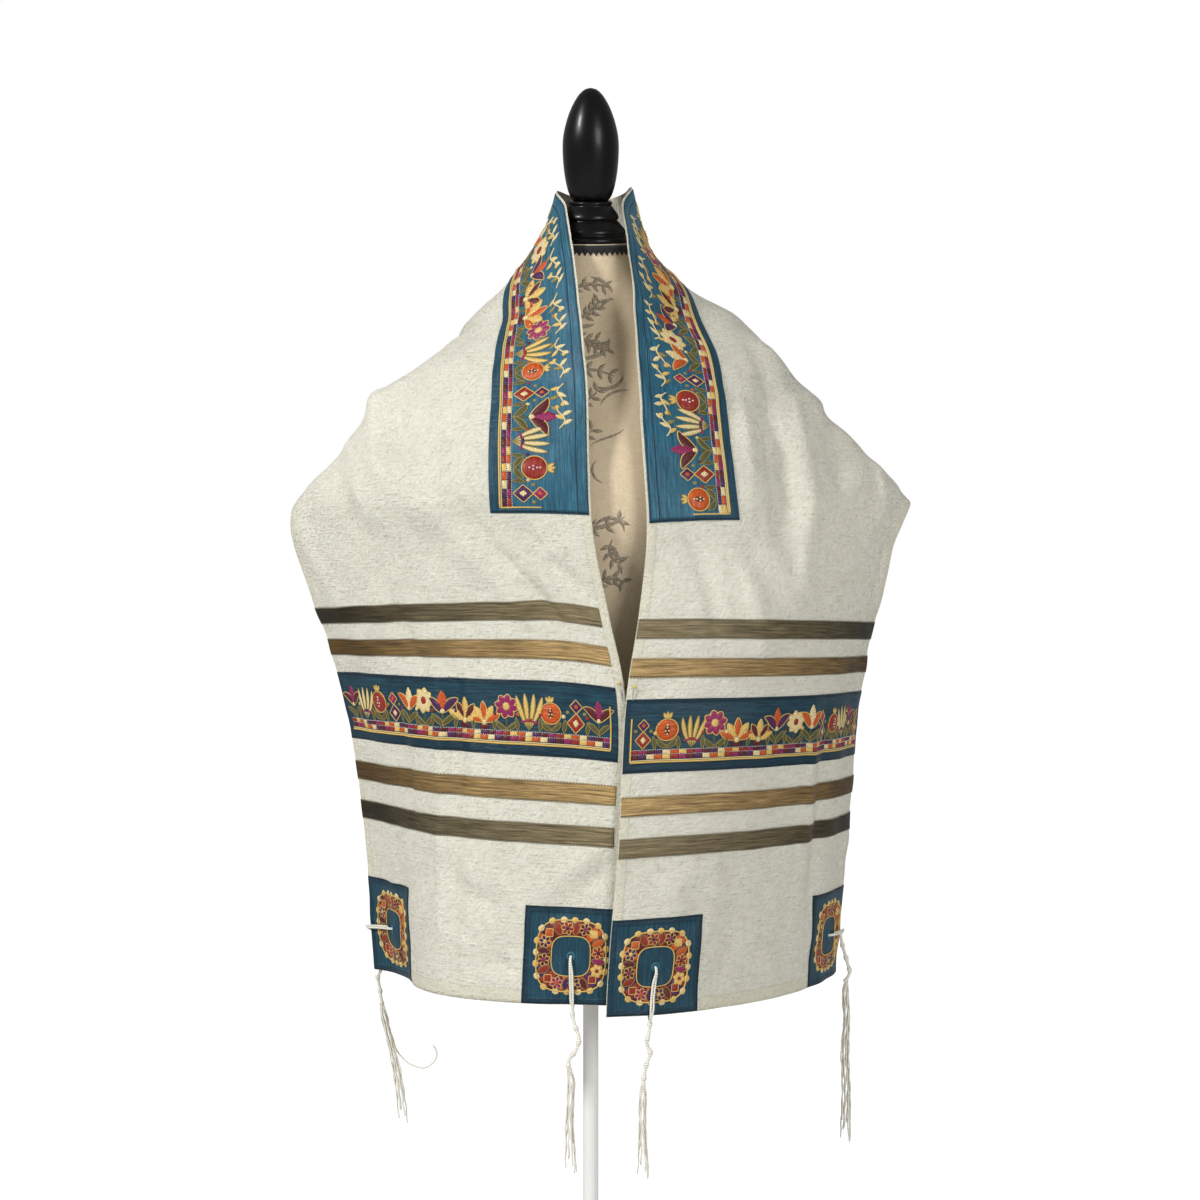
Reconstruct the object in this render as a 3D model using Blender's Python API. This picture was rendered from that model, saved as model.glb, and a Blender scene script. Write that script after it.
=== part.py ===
"""A tallit, a long striped prayer shawl, draped over a limbless dress form on a stand.

Metres, +Z up, +X to the right of someone who faces it, the front towards -Y. The origin
is on the floor under the middle of the shawl, 6.5 mm to the right of the middle of the
stand's foot. "Left" is -X and "right" is +X.

The shawl is one long cloth. A place on it is given flat, as it was cut: `along` runs the
length of the cloth from the left hem through the centre back to the right hem, and
`across` runs from the neck edge to the outer edge. The drape is a row of ribs: each rib is
one crosswise thread, which starts on the neck edge and turns and dips as the tables say.
Everything sewn on the cloth is made from the same places, moved out from it.
"""

from math import cos, radians, sin, tau

import bpy
import numpy as np
from mathutils import Matrix, Vector

# ---------------------------------------------------------------- driving sizes, metres
CLOTH_LENGTH = 1.885
CLOTH_WIDTH = 0.355
CLOTH_WALL = 0.0012
HALF_LENGTH = CLOTH_LENGTH / 2
SLIP = 0.0045           # the cloth hangs this much further down on the right

APPLIQUE_WALL = 0.0009
SEAM_GAP = 0.0003       # what is sewn on lies this far off what carries it
NECKBAND_WIDTH = 0.100
NECKBAND_END = 0.486    # from the hem
PATCH_SIDE = 0.095
HEM = 0.009             # the double turned hem, which the left strips stop short of

# Strips sewn across each front: distance of the lower and upper edge from the hem.
STRIPS = {
    "stripe_dark_low": (0.155, 0.175),
    "stripe_tan_low": (0.196, 0.216),
    "band": (0.239, 0.312),
    "stripe_tan_high": (0.333, 0.353),
    "stripe_dark_high": (0.372, 0.392),
}

FORM_X = -0.0065        # the form stands a little left of the cloth's middle
FORM_Y = 0.0
NECK_TILT = radians(12) # the neck and its cap lean forward
POLE_RADIUS = 0.008
FOOT_RADIUS = 0.180
FOOT_TOP = 0.0135
EYELET_RADIUS = 0.0030
EYELET_INSET = 0.0475   # from both edges of a corner

COLLECTION = "prayer_shawl_on_dress_form"
SIDES = {"left": -1, "right": 1}


# ---------------------------------------------------------------- tables and curves
def table(text):
    """Columns by name, from rows of numbers under a row of names."""
    names, *lines = [line.split() for line in text.strip().splitlines()]
    values = np.array([[float(word) for word in line] for line in lines])
    return {name: values[:, i] for i, name in enumerate(names)}


def smooth(xs, ys, x):
    """A smooth curve through the points (xs, ys), read at x."""
    width = np.diff(xs)
    slope = np.diff(ys) / width
    tangent = np.empty(len(xs))
    tangent[1:-1] = (slope[:-1] * width[1:] + slope[1:] * width[:-1]) / (width[:-1] + width[1:])
    tangent[0], tangent[-1] = slope[0], slope[-1]
    x = np.clip(x, xs[0], xs[-1])
    i = np.clip(np.searchsorted(xs, x) - 1, 0, len(xs) - 2)
    t = (x - xs[i]) / width[i]
    start = (1 + 2 * t) * (1 - t) ** 2 * ys[i] + t * (1 - t) ** 2 * width[i] * tangent[i]
    end = t * t * (3 - 2 * t) * ys[i + 1] + t * t * (t - 1) * width[i] * tangent[i + 1]
    return start + end


def ease(t):
    """0 up to 1, level at both ends."""
    t = np.clip(t, 0.0, 1.0)
    return t * t * (3 - 2 * t)


# ---------------------------------------------------------------- how the cloth hangs
# The neck edge, from the centre back down each front to below its hem. x is outwards.
NECK_EDGE = {
    "left": table("""
        x       y        z
        0.000   0.0520   1.404
        0.026   0.0400   1.407
        0.041   0.0140   1.408
        0.033  -0.0220   1.388
        0.0255 -0.0500   1.347
        0.018  -0.0780   1.285
        0.009  -0.1080   1.195
        0.007  -0.1300   1.110
        0.004  -0.1350   1.050
       -0.012  -0.1350   0.965
       -0.027  -0.1340   0.895
       -0.026  -0.1315   0.740
       -0.020  -0.1305   0.580
       -0.019  -0.1305   0.540
    """),
    "right": table("""
        x       y        z
        0.000   0.0520   1.404
        0.026   0.0410   1.409
        0.035   0.0140   1.412
        0.026  -0.0220   1.390
        0.031  -0.0500   1.345
        0.036  -0.0780   1.285
        0.041  -0.1080   1.195
        0.046  -0.1300   1.110
        0.049  -0.1360   1.050
        0.041  -0.1380   0.965
        0.030  -0.1405   0.895
        0.021  -0.1420   0.740
        0.009  -0.1415   0.570
        0.009  -0.1415   0.530
    """),
}

# The ribs. back: how far along the cloth, from the centre back. turn_0 to turn_4: the
# rib's heading in plan at five even places across, in degrees (0 is straight out to the
# side, 90 straight back). dip_neck, dip_out, dip_hang: how steeply it falls at the neck
# edge, past the neckband, and once it is over the shoulder. over: how far across it goes
# over the shoulder or the fold below it, and round: half the length of that bend.
RIBS = {
    "left": table("""
        back   turn_0 turn_1 turn_2 turn_3 turn_4 dip_neck dip_out dip_hang over   round
        0.000  90     90     90     90     90     72       78      89       0.150  0.060
        0.050  76     80     88     92     92     58       66      89       0.160  0.060
        0.090  48     54     76     90     94     48       42      89       0.170  0.060
        0.140  30     40     58     84     96     44       20      89       0.176  0.060
        0.200  26     34     56     84     96     38       6       89       0.196  0.060
        0.260  20     24     44     78     94     22       0       89       0.238  0.055
        0.320  10     16     34     64     90     8        2       89       0.285  0.045
        0.380  2      8      26     46     68     2        2       88       0.330  0.035
        0.430  0      4      24     40     54    -2        1       80       0.360  0.030
        0.480  2      12     26     36     46    -4        0       60       0.410  0.030
        0.540  6      16     26     38     52    -10       1.5     30       0.470  0.030
        0.630  8      14     28     44     52    -8       -1       0        0.560  0.030
        0.770  6      12     34     60     50    -3       -2       0        0.700  0.030
        0.945  6      8      39     77     32     0       -1       0        0.865  0.030
    """),
    "right": table("""
        back   turn_0 turn_1 turn_2 turn_3 turn_4 dip_neck dip_out dip_hang over   round
        0.000  90     90     90     90     90     72       78      89       0.150  0.060
        0.050  70     74     84     90     92     58       66      89       0.160  0.060
        0.090  54     60     76     88     94     48       42      89       0.170  0.060
        0.140  38     42     56     82     96     46       16      89       0.190  0.060
        0.200  29     32     46     78     96     46       3       89       0.205  0.060
        0.260  24     29     40     72     94     26       1       89       0.222  0.055
        0.320  24     30     38     58     90     8        1       89       0.256  0.045
        0.380  22     28     34     46     66     2        1       88       0.318  0.035
        0.430  20     26     30     44     56    -4        0       80       0.358  0.030
        0.480  12     26     36     52     62    -4        0       60       0.410  0.030
        0.540  0      18     40     60     68    -1        1       30       0.470  0.030
        0.630  2      18     40     62     72    -1        0       0        0.560  0.030
        0.770  8      22     42     60     74    -3       -1       0        0.700  0.030
        0.945  10     26     42     60     72     0       -1.5     0        0.865  0.030
    """),
}
TURNS = 5
DIP_EASES_OVER = 0.110  # the neck edge's own slope has gone this far across
MIRRORED_ROWS = 3       # rows repeated past the centre back, so that the halves join smoothly

# Soft folds, each along a straight line on the flat cloth: + stands out, - sinks in.
# A fold with edge 1 is deepest where it runs off the cloth's edge, like a flute of a hem.
FOLDS = {
    "left": table("""
        back_0  across_0  back_1  across_1  depth   width   edge
        0.060   0.140     0.060   0.355     0.006   0.030   1
        0.120   0.160     0.120   0.355    -0.007   0.030   1
        0.178   0.170     0.178   0.355     0.012   0.030   1
        0.240   0.180     0.240   0.355    -0.013   0.032   1
        0.300   0.200     0.300   0.355     0.014   0.030   1
        0.366   0.290     0.366   0.355    -0.006   0.024   1
        0.445   0.085     0.560   0.020    -0.004   0.016   0
        0.300   0.190     0.400   0.190    -0.005   0.024   0
    """),
    "right": table("""
        back_0  across_0  back_1  across_1  depth   width   edge
        0.050   0.140     0.050   0.355     0.005   0.030   1
        0.110   0.150     0.110   0.355    -0.008   0.034   1
        0.172   0.170     0.172   0.355     0.012   0.032   1
        0.230   0.180     0.230   0.355    -0.014   0.030   1
        0.292   0.210     0.292   0.355     0.013   0.032   1
        0.362   0.285     0.362   0.355    -0.006   0.024   1
        0.300   0.150     0.540   0.165    -0.005   0.014   0
        0.300   0.178     0.540   0.192     0.004   0.014   0
    """),
}


def neck_edge(side):
    """Points down the neck edge, and how far along the edge each one is."""
    rows = NECK_EDGE[side]
    points = np.stack([rows["x"], rows["y"], rows["z"]], axis=1)
    run_in = points[1 : 1 + MIRRORED_ROWS][::-1] * (-1, 1, 1)
    points = np.vstack([run_in, points])
    chord = np.r_[0, np.cumsum(np.linalg.norm(np.diff(points, axis=0), axis=1))]
    t = np.linspace(chord[MIRRORED_ROWS], chord[-1], 1500)
    curve = np.stack([smooth(chord, points[:, k], t) for k in range(3)], axis=1)
    return np.r_[0, np.cumsum(np.linalg.norm(np.diff(curve, axis=0), axis=1))], curve


def rib_values(side, name, back):
    """One column of the ribs, read smoothly at any distance from the centre back."""
    rows = RIBS[side]
    mirrored = rows[name][1 : 1 + MIRRORED_ROWS][::-1]
    if name.startswith("turn"):
        mirrored = 180 - mirrored
    run_in = -rows["back"][1 : 1 + MIRRORED_ROWS][::-1]
    return smooth(np.r_[run_in, rows["back"]], np.r_[mirrored, rows[name]], back)


def ribs(side, back, across):
    """Points of the plain drape, a row for each rib and a column for each place across."""
    lengths, curve = neck_edge(side)
    value = {name: rib_values(side, name, back) for name in RIBS[side] if name != "back"}
    places = np.linspace(0, CLOTH_WIDTH, TURNS)
    points = np.zeros((len(back), len(across), 3))
    for i in range(len(back)):
        turns = np.array([value[f"turn_{k}"][i] for k in range(TURNS)])
        heading = np.radians(smooth(places, turns, across))
        neck, out, hang = value["dip_neck"][i], value["dip_out"][i], value["dip_hang"][i]
        half = value["round"][i]
        dip = neck + (out - neck) * ease(across / DIP_EASES_OVER)
        dip += (hang - out) * ease((across - value["over"][i] + half) / (2 * half))
        dip = np.radians(dip)
        way = np.stack([np.cos(dip) * np.cos(heading), np.cos(dip) * np.sin(heading), -np.sin(dip)], 1)
        steps = (way[1:] + way[:-1]) / 2 * np.diff(across)[:, None]
        start = np.array([np.interp(back[i], lengths, curve[:, k]) for k in range(3)])
        points[i] = start + np.vstack([np.zeros(3), np.cumsum(steps, axis=0)])
    points[..., 0] *= SIDES[side]
    return points


def fold_height(side, back, across):
    """How far the soft folds move the cloth out."""
    rows = FOLDS[side]
    u, v = np.meshgrid(back, across, indexing="ij")
    height = np.zeros_like(u)
    for k in range(len(rows["depth"])):
        start = np.array([rows["back_0"][k], rows["across_0"][k]])
        run = np.array([rows["back_1"][k], rows["across_1"][k]]) - start
        length = np.hypot(*run)
        t = ((u - start[0]) * run[0] + (v - start[1]) * run[1]) / length**2
        off = ((v - start[1]) * run[0] - (u - start[0]) * run[1]) / length
        end = 1.0 if rows["edge"][k] else ease((1 - t) * 2)
        height += rows["depth"][k] * np.exp(-((off / rows["width"][k]) ** 2)) * ease(t * 2) * end
    return height


def outward(points):
    """Unit normals of a grid of points, facing away from the wearer."""
    normal = np.cross(np.gradient(points, axis=0), np.gradient(points, axis=1))
    return normal / np.linalg.norm(normal, axis=2, keepdims=True)


FINE_ALONG = np.linspace(-HALF_LENGTH, HALF_LENGTH, 470)
FINE_ACROSS = np.linspace(0, CLOTH_WIDTH, 119)


def drape():
    """The whole cloth's middle surface and its normals, on a fine grid."""
    signed = FINE_ALONG + SLIP
    points = np.zeros((len(FINE_ALONG), len(FINE_ACROSS), 3))
    height = np.zeros(points.shape[:2])
    for side, sign in SIDES.items():
        here = signed < 0 if sign < 0 else signed >= 0
        points[here] = ribs(side, np.abs(signed[here]), FINE_ACROSS)
        height[here] = fold_height(side, np.abs(signed[here]), FINE_ACROSS)
    points = points + outward(points) * height[..., None]
    return points, outward(points)


FINE_POINTS, FINE_NORMALS = drape()


def cloth(along, across, out):
    """Points of the draped cloth at each place along and across, moved out by `out`."""
    i = np.interp(along, FINE_ALONG, np.arange(len(FINE_ALONG)))
    j = np.interp(across, FINE_ACROSS, np.arange(len(FINE_ACROSS)))
    i0 = np.minimum(i.astype(int), len(FINE_ALONG) - 2)
    j0 = np.minimum(j.astype(int), len(FINE_ACROSS) - 2)
    a, b = (i - i0)[:, None, None], (j - j0)[None, :, None]

    def read(grid):
        near = grid[i0][:, j0] * (1 - b) + grid[i0][:, j0 + 1] * b
        far = grid[i0 + 1][:, j0] * (1 - b) + grid[i0 + 1][:, j0 + 1] * b
        return near * (1 - a) + far * a

    return read(FINE_POINTS) + read(FINE_NORMALS) * out


def spot(along, across, out):
    """One point on or off the cloth."""
    return Vector(cloth(np.array([along]), np.array([across]), out)[0, 0])


# ---------------------------------------------------------------- the form's sections
# Level sections of the padded torso: half width, how far the front and the back stand
# from its middle, and how square the section is (2 is an ellipse).
FORM = table("""
    z      half_width  front  back   squareness
    0.635  0.158       0.088  0.110  2.1
    0.665  0.165       0.094  0.118  2.1
    0.720  0.172       0.100  0.126  2.1
    0.780  0.168       0.100  0.122  2.1
    0.860  0.138       0.092  0.098  2.0
    0.930  0.120       0.088  0.080  2.0
    1.000  0.138       0.105  0.074  2.1
    1.060  0.160       0.118  0.077  2.2
    1.110  0.170       0.112  0.081  2.2
    1.160  0.172       0.089  0.084  2.3
    1.200  0.169       0.068  0.083  2.4
    1.225  0.155       0.055  0.080  2.4
    1.245  0.131       0.045  0.075  2.3
    1.262  0.105       0.041  0.070  2.2
    1.285  0.078       0.040  0.064  2.1
    1.310  0.057       0.039  0.056  2.0
    1.335  0.045       0.038  0.048  2.0
    1.352  0.042       0.037  0.044  2.0
""")


# ---------------------------------------------------------------- scene and materials
for old in list(bpy.data.objects):
    bpy.data.objects.remove(old, do_unlink=True)

parts = bpy.data.collections.new(COLLECTION)
cutters = bpy.data.collections.new("cutters")
bpy.context.scene.collection.children.link(parts)
bpy.context.scene.collection.children.link(cutters)


def material(name, colour, roughness, metallic=0.0):
    made = bpy.data.materials.new(name)
    made.use_nodes = True
    shader = made.node_tree.nodes["Principled BSDF"]
    shader.inputs["Base Color"].default_value = (*colour, 1.0)
    shader.inputs["Roughness"].default_value = roughness
    shader.inputs["Metallic"].default_value = metallic
    return made


IVORY_SILK = material("ivory_silk", (0.86, 0.83, 0.74), 0.55)
TEAL_SILK = material("teal_silk", (0.02, 0.12, 0.20), 0.50)
DARK_RIBBON = material("dark_ribbon", (0.09, 0.07, 0.05), 0.50)
TAN_RIBBON = material("tan_ribbon", (0.28, 0.17, 0.07), 0.50)
WHITE_WOOL = material("white_wool", (0.82, 0.80, 0.74), 0.85)
LINEN = material("printed_linen", (0.60, 0.52, 0.40), 0.90)
BLACK_LACQUER = material("black_lacquer", (0.01, 0.01, 0.01), 0.20)
BLACK_BRAID = material("black_braid", (0.02, 0.02, 0.02), 0.90)
WHITE_ENAMEL = material("white_enamel", (0.80, 0.80, 0.78), 0.35)


def object_from(name, mesh, look, into=parts):
    thing = bpy.data.objects.new(name, mesh)
    into.objects.link(thing)
    if look:
        mesh.materials.append(look)
    return thing


def mesh_from(name, vertices, faces):
    mesh = bpy.data.meshes.new(name)
    mesh.from_pydata([tuple(map(float, v)) for v in vertices], [], faces)
    mesh.update()
    return mesh


# ---------------------------------------------------------------- cloth walls
def stations(edges, longest):
    """The given edges, with even steps no longer than `longest` between them."""
    places = [edges[0]]
    for start, end in zip(edges, edges[1:]):
        steps = max(1, int(np.ceil((end - start) / longest - 1e-6)))
        places += [start + (end - start) * k / steps for k in range(1, steps + 1)]
    return np.array(places)


hem_edges = [0.0, PATCH_SIDE, *(edge for pair in STRIPS.values() for edge in pair), NECKBAND_END]
RIGHT_ALONG = HALF_LENGTH - stations([*hem_edges, HALF_LENGTH], 0.0242)[::-1]
ALONG = np.r_[-RIGHT_ALONG[::-1], RIGHT_ALONG[1:]]
ACROSS = stations([0.0, HEM, PATCH_SIDE, NECKBAND_WIDTH, CLOTH_WIDTH - PATCH_SIDE, CLOTH_WIDTH], 0.0235)


def between(places, low, high):
    slack = 1e-6
    return places[(places > low - slack) & (places < high + slack)]


def wall(name, along, across, inner, outer, look):
    """A closed wall over the grid of places, from `inner` to `outer` off the cloth's middle.

    Each cell is cut in two along the way that its folds run, which is mirrored on the left."""
    rows, columns = len(along), len(across)
    sheet = rows * columns
    vertices = np.vstack([cloth(along, across, d).reshape(-1, 3) for d in (outer, inner)])
    faces = []
    for i in range(rows - 1):
        for j in range(columns - 1):
            a, b = i * columns + j, (i + 1) * columns + j
            halves = ((a, b, b + 1), (a, b + 1, a + 1))
            if along[i] + along[i + 1] < 0:
                halves = ((a, b, a + 1), (b, b + 1, a + 1))
            for one, two, three in halves:
                faces.append((one, two, three))
                faces.append((sheet + one, sheet + three, sheet + two))
    rim = [i * columns for i in range(rows)]
    rim += [(rows - 1) * columns + j for j in range(1, columns)]
    rim += [i * columns + columns - 1 for i in range(rows - 2, -1, -1)]
    rim += list(range(columns - 2, 0, -1))
    for a, b in zip(rim, rim[1:] + rim[:1]):
        faces.append((b, a, sheet + a, sheet + b))
    return object_from(name, mesh_from(name, vertices, faces), look)


APPLIQUE_INNER = CLOTH_WALL / 2 + SEAM_GAP
APPLIQUE_OUTER = APPLIQUE_INNER + APPLIQUE_WALL

shawl = wall("shawl", ALONG, ACROSS, -CLOTH_WALL / 2, CLOTH_WALL / 2, IVORY_SILK)

neckband_reach = HALF_LENGTH - NECKBAND_END
wall(
    "neckband",
    between(ALONG, -neckband_reach, neckband_reach),
    between(ACROSS, 0.0, NECKBAND_WIDTH),
    APPLIQUE_INNER,
    APPLIQUE_OUTER,
    TEAL_SILK,
)

STRIP_LOOKS = {"stripe_dark": DARK_RIBBON, "stripe_tan": TAN_RIBBON, "band": TEAL_SILK}
for side, sign in SIDES.items():
    for strip, (low, high) in STRIPS.items():
        ends = sorted((sign * (HALF_LENGTH - low), sign * (HALF_LENGTH - high)))
        look = next(found for start, found in STRIP_LOOKS.items() if strip.startswith(start))
        reach = between(ACROSS, HEM if side == "left" else 0.0, CLOTH_WIDTH)
        wall(f"{side}_{strip}", between(ALONG, *ends), reach, APPLIQUE_INNER, APPLIQUE_OUTER, look)

PATCH_EDGES = {"inner": (0.0, PATCH_SIDE), "outer": (CLOTH_WIDTH - PATCH_SIDE, CLOTH_WIDTH)}
patches = {}
for side, sign in SIDES.items():
    for corner, reach in PATCH_EDGES.items():
        ends = sorted((sign * HALF_LENGTH, sign * (HALF_LENGTH - PATCH_SIDE)))
        patches[side, corner] = wall(
            f"patch_{side}_{corner}",
            between(ALONG, *ends),
            between(ACROSS, *reach),
            APPLIQUE_INNER,
            APPLIQUE_OUTER,
            TEAL_SILK,
        )


# ---------------------------------------------------------------- swept cords and lathes
def tube(points, radii, sides, turn=0.0, closed=False):
    """A cord through the points: vertices and outward faces, with flat ends unless closed."""
    points = [Vector(p) for p in points]
    count = len(points)
    vertices, faces = [], []
    across_cord = None
    for i, point in enumerate(points):
        before = points[i - 1] if i or closed else point
        after = points[(i + 1) % count] if i + 1 < count or closed else point
        way = (after - before).normalized()
        if across_cord is None:
            across_cord = way.orthogonal().normalized()
        across_cord = (across_cord - way * across_cord.dot(way)).normalized()
        third = way.cross(across_cord)
        for k in range(sides):
            angle = turn + tau * k / sides
            vertices.append(point + (across_cord * cos(angle) + third * sin(angle)) * radii[i])
    for i in range(count if closed else count - 1):
        for k in range(sides):
            a, b = i * sides + k, i * sides + (k + 1) % sides
            c, d = (b + sides) % len(vertices), (a + sides) % len(vertices)
            faces.append((a, b, c, d))
    if not closed:
        faces.append(tuple(reversed(range(sides))))
        faces.append(tuple(range((count - 1) * sides, count * sides)))
    return vertices, faces


def bent(points, step):
    """Points every `step` or so along a smooth curve through the given ones."""
    points = np.array([tuple(p) for p in points])
    chord = np.r_[0, np.cumsum(np.linalg.norm(np.diff(points, axis=0), axis=1))]
    t = np.linspace(0, chord[-1], max(3, int(round(chord[-1] / step)) + 1))
    return np.stack([smooth(chord, points[:, k], t) for k in range(3)], axis=1)


def lathe(name, profile, sides, look, place):
    """Turned round its own axis from (radius, height) pairs, top to bottom; `place` sets it down."""
    rings = [(r, h) for r, h in profile if r > 0]
    vertices, faces = [], []
    for radius, height in rings:
        for k in range(sides):
            angle = tau * k / sides
            vertices.append(Vector((radius * cos(angle), radius * sin(angle), height)))
    for i in range(len(rings) - 1):
        for k in range(sides):
            a, b = i * sides + k, i * sides + (k + 1) % sides
            faces.append((a, a + sides, b + sides, b))
    faces.append(tuple(range(sides)))
    faces.append(tuple(reversed(range((len(rings) - 1) * sides, len(rings) * sides))))
    made = object_from(name, mesh_from(name, vertices, faces), look)
    made.matrix_world = place
    return made


def cut(target, cutter):
    target_cut = target.modifiers.new(f"cut_{cutter.name}", "BOOLEAN")
    target_cut.operation = "DIFFERENCE"
    target_cut.solver = "EXACT"
    target_cut.object = cutter


# ---------------------------------------------------------------- eyelets and tassels
# Each tassel is four white cords drawn through the eyelet to their middles: a loop, then
# a stem of double knots and windings, then eight free ends.
LOOP_RADIUS = 0.0013
STRAND_RADIUS = 0.0009
STEM_RADIUS = 0.0017
KNOT_RADIUS = 0.0029
STRANDS = 8
SPREAD = 0.0034         # how far the free ends stand round the stem's line

# The loop's places on the cloth: down from the eyelet, towards the outer edge from it, and
# off the cloth's middle. `end` 1 marks the places beyond the cloth, where the knots begin.
OVER_THE_HEM = table("""
    down     outer    out
    0.0500   0.0035   0.0040
    0.0430   0.0027   0.0045
    0.0300   0.0020   0.0044
    0.0150   0.0010   0.0042
    0.0030   0.0000   0.0044
    0.0006   0.0000   0.0024
    0.0000   0.0000   0.0000
    0.0004   0.0000  -0.0012
    0.0030   0.0000  -0.0032
    0.0150   0.0005  -0.0032
    0.0300   0.0015  -0.0032
    0.0430   0.0025  -0.0032
    0.0500   0.0033  -0.0027
""")
OVER_THE_SIDE = table("""
    down     outer    out
    0.0020   0.0500   0.0040
    0.0015   0.0430   0.0045
    0.0010   0.0300   0.0044
    0.0004   0.0150   0.0042
    0.0000   0.0030   0.0044
    0.0000   0.0006   0.0024
    0.0000   0.0000   0.0000
    0.0000   0.0004  -0.0012
    0.0000   0.0030  -0.0032
    0.0006   0.0150  -0.0034
    0.0012   0.0300  -0.0034
    0.0018   0.0430  -0.0034
    0.0022   0.0500  -0.0027
""")
ROUND_THE_CORNER = table("""
    down     outer    out
    0.0500   0.0430  -0.0050
    0.0350   0.0440  -0.0070
    0.0180   0.0470  -0.0068
    0.0080   0.0505  -0.0044
    0.0045   0.0518   0.0010
    0.0030   0.0480   0.0056
    0.0020   0.0300   0.0048
    0.0008   0.0150   0.0042
    0.0000   0.0030   0.0044
    0.0000   0.0006   0.0024
    0.0000   0.0000   0.0000
    0.0003   0.0003  -0.0012
    0.0022   0.0022  -0.0032
    0.0140   0.0130  -0.0034
    0.0300   0.0280  -0.0034
    0.0430   0.0400  -0.0040
""")

# The stem and the line of the free ends below it, from the loop down, and how far down
# the stem the ends come free.
TASSELS = {
    ("left", "inner"): (OVER_THE_HEM, 0.058, table("""
        x        y        z
       -0.0245  -0.1285   0.5740
       -0.0220  -0.1315   0.5623
       -0.0175  -0.1335   0.5493
       -0.0205  -0.1340   0.5378
       -0.0270  -0.1345   0.5290
       -0.0245  -0.1350   0.5036
       -0.0262  -0.1355   0.4817
       -0.0255  -0.1355   0.4180
    """)),
    ("right", "inner"): (OVER_THE_HEM, 0.062, table("""
        x        y        z
        0.0522  -0.1315   0.5642
        0.0512  -0.1325   0.5540
        0.0490  -0.1330   0.5450
        0.0525  -0.1320   0.5345
        0.0488  -0.1330   0.5238
        0.0461  -0.1340   0.5090
        0.0451  -0.1350   0.4824
        0.0455  -0.1350   0.4120
    """)),
    ("left", "outer"): (ROUND_THE_CORNER, 0.030, table("""
        x        y        z
       -0.2345   0.0620   0.5790
       -0.2325   0.0605   0.5690
       -0.2300   0.0570   0.5553
       -0.2252   0.0530   0.5309
       -0.2180   0.0500   0.5058
       -0.2127   0.0500   0.4810
       -0.2080   0.0500   0.4500
       -0.2050   0.0500   0.4250
    """)),
    ("right", "outer"): (OVER_THE_SIDE, 0.058, table("""
        x        y        z
        0.2618   0.0886   0.6228
        0.2650   0.0900   0.6069
        0.2700   0.0900   0.5891
        0.2725   0.0895   0.5784
        0.2680   0.0895   0.5678
        0.2700   0.0895   0.5429
        0.2665   0.0900   0.5078
        0.2685   0.0900   0.4758
        0.2680   0.0900   0.3950
    """)),
}
CURLED = ("left", "outer")  # one of its free ends has dried into a curl


def corner_spot(side, corner, down, outer, out):
    sign = SIDES[side]
    inset = EYELET_INSET if corner == "inner" else CLOTH_WIDTH - EYELET_INSET
    from_hem = EYELET_INSET - down
    towards = outer if corner == "outer" else -outer
    reach = HALF_LENGTH - from_hem
    if from_hem >= 0 and 0 <= inset + towards <= CLOTH_WIDTH:
        return spot(sign * reach, inset + towards, out)
    # past an edge the place lies straight on in the line of the cloth
    edge = (min(reach, HALF_LENGTH), float(np.clip(inset + towards, 0, CLOTH_WIDTH)))
    at_edge = spot(sign * edge[0], edge[1], out)
    back_along = spot(sign * (edge[0] - 0.01), edge[1], out)
    step = 0.01 if edge[1] > CLOTH_WIDTH / 2 else -0.01
    back_across = spot(sign * edge[0], edge[1] - step, out)
    on = (at_edge - back_along) / 0.01 * (reach - edge[0])
    off = (at_edge - back_across) / step * (inset + towards - edge[1])
    return at_edge + on + off


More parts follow.
